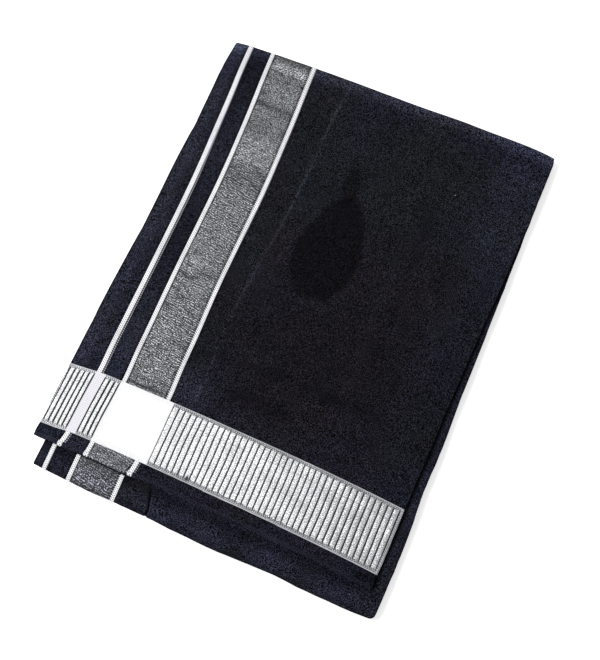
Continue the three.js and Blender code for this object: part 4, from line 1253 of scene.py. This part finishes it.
def stitches():
    """The hem's row of machine stitches, one small bent thread each."""
    pts_, faces_, cl = [], [], []
    pitch, length, r = 2.4, 1.75, 0.14
    x = -158.8
    i = 0
    while x < 156.0:
        rng = np.random.default_rng(9000 + i)
        y = HEM_EDGE + 2.85 + rng.uniform(-0.10, 0.10)
        base = len(pts_) * 0 + sum(len(q) for q in pts_)
        t = np.linspace(0, 1, 6)
        cx = x + (t - 0.5) * length
        lift = 1.30 + 0.10 * np.sin(math.pi * t) - 0.22 * (np.abs(2 * t - 1) ** 4)
        ring = []
        for a in np.radians(np.arange(0, 360, 60)):
            px = cx
            py = np.full(6, y) + r * math.cos(a) + rng.uniform(-0.03, 0.03)
            pe = lift + r * math.sin(a)
            ring.append(on_flap(px, py, FLAP_MIDDLE + pe + flap_relief(px, py) * 0.6))
        ring = np.stack(ring, 1)                       # (6 stations, 6 round)
        pts_.append(ring.reshape(-1, 3))
        cl.append(np.stack([np.repeat(cx, 6), np.tile(np.arange(6) * 0.3, 6), np.full(36, i * 1.7)], -1))
        for s in range(5):
            for q in range(6):
                a0, a1 = base + s * 6 + q, base + s * 6 + (q + 1) % 6
                faces_.append([a0, a1, a1 + 6, a0 + 6])
        faces_.append([base + q for q in range(5, -1, -1)])
        faces_.append([base + 30 + q for q in range(6)])
        x += pitch * rng.uniform(0.96, 1.04)
        i += 1
    o = mesh_object("lungi_hem_stitches", np.concatenate(pts_), faces_, {"cloth": np.concatenate(cl)}, [BLACK_THREAD])
    return place(o, "black_cotton")


hem_stitches = stitches()

# ------------------------------------------------------------------ cross band

LEFT_LINES = [-159.6, -154.6, -149.7, -144.7, -139.8, -135.1]
MID_LINES = [-124.7, -119.8, -115.1, -110.8]
RIB_SLIP = curve([-58, -40, -20, 0, 20, 35, 50, 60, 70, 80, 90, 100, 112, 125, 140, 155], [0.6, 1.1, 1.5, 1.6, 1.6, 1.4, 1.1, 0.8, 0.4, 0.1, 0.0, 0.4, 0.7, 0.8, 0.9, 0.8])
RIGHT_LINES = [-57.6 + 5.451 * i + float(RIB_SLIP(-57.6 + 5.451 * i)) for i in range(40)] + [158.6]
IN_RIB = (0.0, 0.06, 0.12, 0.17, 0.24, 0.35, 0.5, 0.65, 0.76, 0.83, 0.88, 0.94)


def band_columns():
    """Across places at the rib lines: x, rib count, 1 where plain, lilac."""
    cols = []
    def run(lines, count):
        for i, (a, b) in enumerate(zip(lines[:-1], lines[1:])):
            for t in IN_RIB:
                cols.append((a + (b - a) * t, count + i + t, 0.0, 0.0))
        return count + len(lines) - 1
    cols.append((-161.0, 0.70, 0.0, 0.0))
    cols.append((-160.5, 0.80, 0.0, 0.0))
    cols.append((-160.0, 0.92, 0.0, 0.0))
    c = run(LEFT_LINES, 1)
    cols.append((-135.05, c, 0.0, 0.0))
    cols.append((-134.6, c + 0.10, 0.0, 0.0))
    for x in np.linspace(-134.4, -125.4, 14):
        cols.append((x, c, 1.0, 1.0))
    cols.append((-125.2, c - 0.10, 0.0, 0.0))
    c = run(MID_LINES, c)
    cols.append((-110.75, c, 0.0, 0.0))
    cols.append((-110.3, c + 0.10, 0.0, 0.0))
    for x in np.linspace(-110.1, -57.6, 44):
        cols.append((x, c, 1.0, 0.0))
    c = run(RIGHT_LINES[:-1], c)
    last = RIGHT_LINES[-2]
    cols.append((last, c, 0.0, 0.0))
    for t in (0.08, 0.16, 0.26, 0.36, 0.44, 0.5):
        cols.append((last + (158.0 - last) * t / 0.5, c + t, 0.0, 0.0))
    return np.array(cols)


def build_cross_band():
    cols = band_columns()
    wide = BAND_FAR - BAND_NEAR
    q = np.concatenate([[0, 0.12, 0.3], np.arange(0.6, 3.0, 0.4), [3.1, 3.3, 3.5, 3.7, 3.95, 4.25, 4.6, 5.0, 5.5, 6.1, 6.9]])
    q = np.concatenate([q, np.linspace(8.2, wide / 2, 15)])
    q = np.concatenate([q, (wide - q[:-1])[::-1]])
    y = BAND_NEAR + q
    nrow = len(q)
    left, right = FLAP_CURVES[0](y), FLAP_CURVES[4](y)
    (lx, le), (rx, re) = edge_profiles(left, right, y, 50)
    x = np.repeat(cols[None, :, 0], nrow, 0).copy()
    # ribs lean and bend a little with the cloth
    sway = 0.16 * waves(x, y[:, None] + 0 * x, 45, 501)
    sway = sway + (y[:, None] + 163) * np.where(x > -60, -0.025, 0.010)
    keep = (smooth((cols[:, 0] + 160) / 6) * smooth((157.5 - cols[:, 0]) / 3))[None, :]
    for i, t in enumerate((0.0, 0.4, 0.75)):
        x[:, i] = lx[:, 0] * (1 - t) - 159.6 * t
    x = x + sway * keep
    # its left end droops a little towards the hem
    yy = y[:, None] - 1.1 * smooth((-126 - x) / 22)
    p_, plain, lilac = (np.repeat(cols[None, :, k], nrow, 0) for k in (1, 2, 3))
    q2 = np.minimum(q, wide - q)[:, None] + 0 * x
    f = np.abs((p_ + 0.5) % 1.0 - 0.5)             # 0 at a line, 0.5 mid-rib
    ribs = np.clip(f / 0.44, 0, 1)
    across = np.sqrt(np.clip(1 - (1 - ribs) ** 2, 0, 1))
    end = np.clip((q2 - 3.7) / 2.0, 0, 1)
    round_end = np.sqrt(np.clip(1 - (1 - end) ** 2, 0, 1))
    rng = np.random.default_rng(77)
    tall = 1 + 0.12 * np.clip(rng.standard_normal(64), -1.5, 0.6)
    each = tall[np.clip(np.floor(p_).astype(int), 0, 63)]
    pucker = 0.05 * waves(x * 3.0, yy, 9, 505)
    rib_h = (0.85 * each * across * round_end + pucker * across) * (f > 0.045) * (x < 156.6)
    line_h = 0.30 * np.clip(1 - ((q2 - 1.7) / 1.7) ** 4, 0, 1) + 0.05 * np.sin(2 * math.pi * (x + 1.1 * np.abs(q2 - 1.8)) / 1.95) * (q2 < 3.2) * (q2 > 0.2)
    plain_h = 0.34 * np.clip(q2 / 0.5, 0, 1) ** 0.5 + 0.02 * waves(x, yy, 12, 506)
    end_h = (0.30 + 0.05 * np.sin(2 * math.pi * (yy + 1.1 * np.abs(x - 157.0)) / 1.95)) * smooth((x - 156.0) / 0.6)
    h_ = np.where(plain > 0.5, plain_h, np.maximum(np.maximum(rib_h, line_h), end_h))
    lift = 0.05 + h_
    relief_ = flap_relief(x, yy)
    top_e = HALF + relief_ + lift
    # over the side edges: past the outermost ply on the left, round the upper
    # fold on the right
    cxl = lx[:, 0]
    la = np.radians([200, 170, 140, 110])[None, :]
    lr = 0.25 + 0.16
    LX = cxl[:, None] + lr * np.cos(la)
    LE = 0.75 + lr * np.sin(la) + 0 * LX
    cxr = rx[:, 0]
    ra = np.radians([70, 45, 20, 0, -20, -45, -65])[None, :]
    rr = 0.5 + 0.16
    RX = cxr[:, None] + rr * np.cos(ra)
    RE = 0.5 + rr * np.sin(ra) + 0 * RX
    X = np.concatenate([LX, x, RX], 1)
    E = np.concatenate([LE, top_e, RE], 1)
    Y = y[:, None] - 1.1 * smooth((-126 - X) / 22)
    top = flap_point(X, E, Y, FLAP_MIDDLE + 0 * X, 0 * X)
    # the back, sunk in the wall
    xb_ = np.concatenate([(cxl - 0.10)[:, None], np.repeat(np.array([[-159., -157.5, -156., -154., -152., -150., -147., -144., -140., -136., -120., -105, -85., -66., -40., 0., 40., 80., 120., 148.]]), nrow, 0), (cxr + 0.2)[:, None]], 1)
    eb_ = np.concatenate([np.full((nrow, 1), 0.62), np.full((nrow, 20), 0.68), np.full((nrow, 1), 0.45)], 1)
    YB = y[:, None] - 1.1 * smooth((-126 - xb_) / 22)
    eb_ = eb_ + flap_relief(xb_, YB) * 0.8
    bottom = flap_point(xb_, eb_, YB, FLAP_MIDDLE + 0 * xb_, 0 * xb_)
    pts_, faces_ = shell(top, bottom)
    pL, pR = np.full((nrow, 4), 0.6), np.repeat(p_[:, -1:], 7, 1)
    P = np.concatenate([pL, p_, pR], 1)
    Q = q[:, None] + 0 * X
    W = np.concatenate([np.zeros((nrow, 4)), plain, np.zeros((nrow, 7))], 1)
    Lc = np.concatenate([np.zeros((nrow, 4)), lilac, np.zeros((nrow, 7))], 1)
    shine = 1.0 + 0.05 * waves(X, Y, 30, 510)
    # a small dark snag by its near line
    shine = shine * (1 - 0.96 * np.clip(2.4 * np.exp(-((X + 19.5) / 1.1) ** 2 - ((Q - 3.8) / 1.7) ** 2), 0, 1))
    band_t = np.stack([P, Q, W], -1)
    shade_t_ = np.stack([shine, 0 * X, Lc], -1)
    cloth_t = np.stack([X, Y, 0 * X], -1)
    band_b = np.stack([0 * xb_ + 0.5, q[:, None] + 0 * xb_, 0 * xb_], -1)
    one = np.stack([0 * xb_ + 1, 0 * xb_, 0 * xb_], -1)
    cloth_b = np.stack([xb_, YB, 0 * xb_], -1)
    o = mesh_object("lungi_cross_band", pts_, faces_, {"band": both(band_t, band_b), "shade": both(shade_t_, one), "cloth": both(cloth_t, cloth_b)}, [SILK], sharp=75)
    return place(o, "white_cross_band", "cross_band")


cross_band = build_cross_band()

# ------------------------------------------------------------------ lint

LINT_AT = [(90.2, 140.7, 1.3), (121.0, 128.9, 1.2), (149.6, 176.2, 0.8), (-146.9, -4.3, 0.8), (-147.8, -57.2, 0.7)]
LINT_LOW = [(144.6, -216.9, 1.0)]


def lint():
    """Small curled white fibres lying on the cloth."""
    pts_, faces_, cl = [], [], []
    for i, (x, y, size) in enumerate(LINT_AT + LINT_LOW):
        low = i >= len(LINT_AT)
        rng = np.random.default_rng(700 + i)
        t = np.linspace(0, 1, 9)
        a0, bend = rng.uniform(0, 6.28), rng.uniform(2.5, 4.5)
        px, py = x + np.cumsum(np.cos(a0 + bend * t)) * size / 8, y + np.cumsum(np.sin(a0 + bend * t)) * size / 8
        base = sum(len(q) for q in pts_)
        r = 0.17 * np.sin(math.pi * (0.12 + 0.76 * t))
        ring = []
        for a in np.radians(np.arange(0, 360, 60)):
            qx, qy = px, py + r * math.cos(a)
            if low:
                e = HALF + 0.2 + second_relief(qx, qy) + r * math.sin(a)
                ring.append(second_point(qx, e, qy, SECOND_MIDDLE + 0 * qx, 0 * qx))
            else:
                by_ = qy - (BOW_HEM + (BOW_FAR - BOW_HEM) * np.clip((qy - HEM_EDGE) / FLAP_LENGTH, 0, 1)) * bulge(qx)
                e = HALF + 0.2 + flap_relief(qx, by_) + r * math.sin(a)
                ring.append(flap_point(qx, e, by_, FLAP_MIDDLE + 0 * qx, 0 * qx))
        ring = np.stack(ring, 1)
        pts_.append(ring.reshape(-1, 3))
        cl.append(ring.reshape(-1, 3) * 2.0)
        for s in range(8):
            for k in range(6):
                a1, a2 = base + s * 6 + k, base + s * 6 + (k + 1) % 6
                faces_.append([a1, a2, a2 + 6, a1 + 6])
        faces_.append([base + k for k in range(5, -1, -1)])
        faces_.append([base + 48 + k for k in range(6)])
    o = mesh_object("lungi_lint", np.concatenate(pts_), faces_, {"cloth": np.concatenate(cl)}, [LINT])
    return place(o, "black_cotton")


lint_piece = lint()

# ------------------------------------------------------------------ stage


def stage_floor():
    me = bpy.data.meshes.new("floor")
    me.from_pydata([(-4, -4, -0.0004), (4, -4, -0.0004), (4, 4, -0.0004), (-4, 4, -0.0004)], [], [(0, 1, 2, 3)])
    o = bpy.data.objects.new("floor", me)
    bpy.context.scene.collection.objects.link(o)
    k = Look("floor", Roughness=0.9, Specular_IOR_Level=0.1)
    k.b.inputs["Base Color"].default_value = (0.94, 0.94, 0.94, 1)
    k.b.inputs["Emission Color"].default_value = (1, 1, 1, 1)
    k.b.inputs["Emission Strength"].default_value = 0.50
    me.materials.append(k.m)


stage_floor()

world = bpy.data.worlds.new("studio")
world.use_nodes = True
world.node_tree.nodes["Background"].inputs["Color"].default_value = (1, 1, 1, 1)
world.node_tree.nodes["Background"].inputs["Strength"].default_value = 0.50
bpy.context.scene.world = world

# One large soft lamp, from the packet's left side and a little beyond it.
lamp = bpy.data.lights.new("soft_key", "AREA")
lamp.shape, lamp.size, lamp.energy = "DISK", 1.0, 24.0
key = bpy.data.objects.new("soft_key", lamp)
way = Vector((-0.52, -0.10, 0.85)).normalized()
key.location = way * 1.9
key.rotation_mode = "QUATERNION"
key.rotation_quaternion = way.to_track_quat("Z", "Y")
bpy.context.scene.collection.objects.link(key)

bpy.context.scene.view_settings.view_transform = "Standard"

# The camera, as the photo's: focal length 1049 px for the 600 x 660 frame.
cam = bpy.data.cameras.new("camera")
cam.sensor_width, cam.sensor_fit, cam.lens = 36.0, "AUTO", 1049.2 / 660 * 36.0
cam.clip_start, cam.clip_end = 0.01, 20.0
camera = bpy.data.objects.new("camera", cam)
right_, down_, ahead_ = (0.90634707, 0.41627792, -0.07244093), (0.38225704, -0.88086327, -0.27921219), (-0.18004042, 0.2253721, -0.95749301)
camera.matrix_world = Matrix((
    (right_[0], -down_[0], -ahead_[0], 0.176601),
    (right_[1], -down_[1], -ahead_[1], -0.226970),
    (right_[2], -down_[2], -ahead_[2], 0.890134),
    (0, 0, 0, 1)))
bpy.context.scene.collection.objects.link(camera)
bpy.context.scene.camera = camera

bpy.context.view_layer.update()
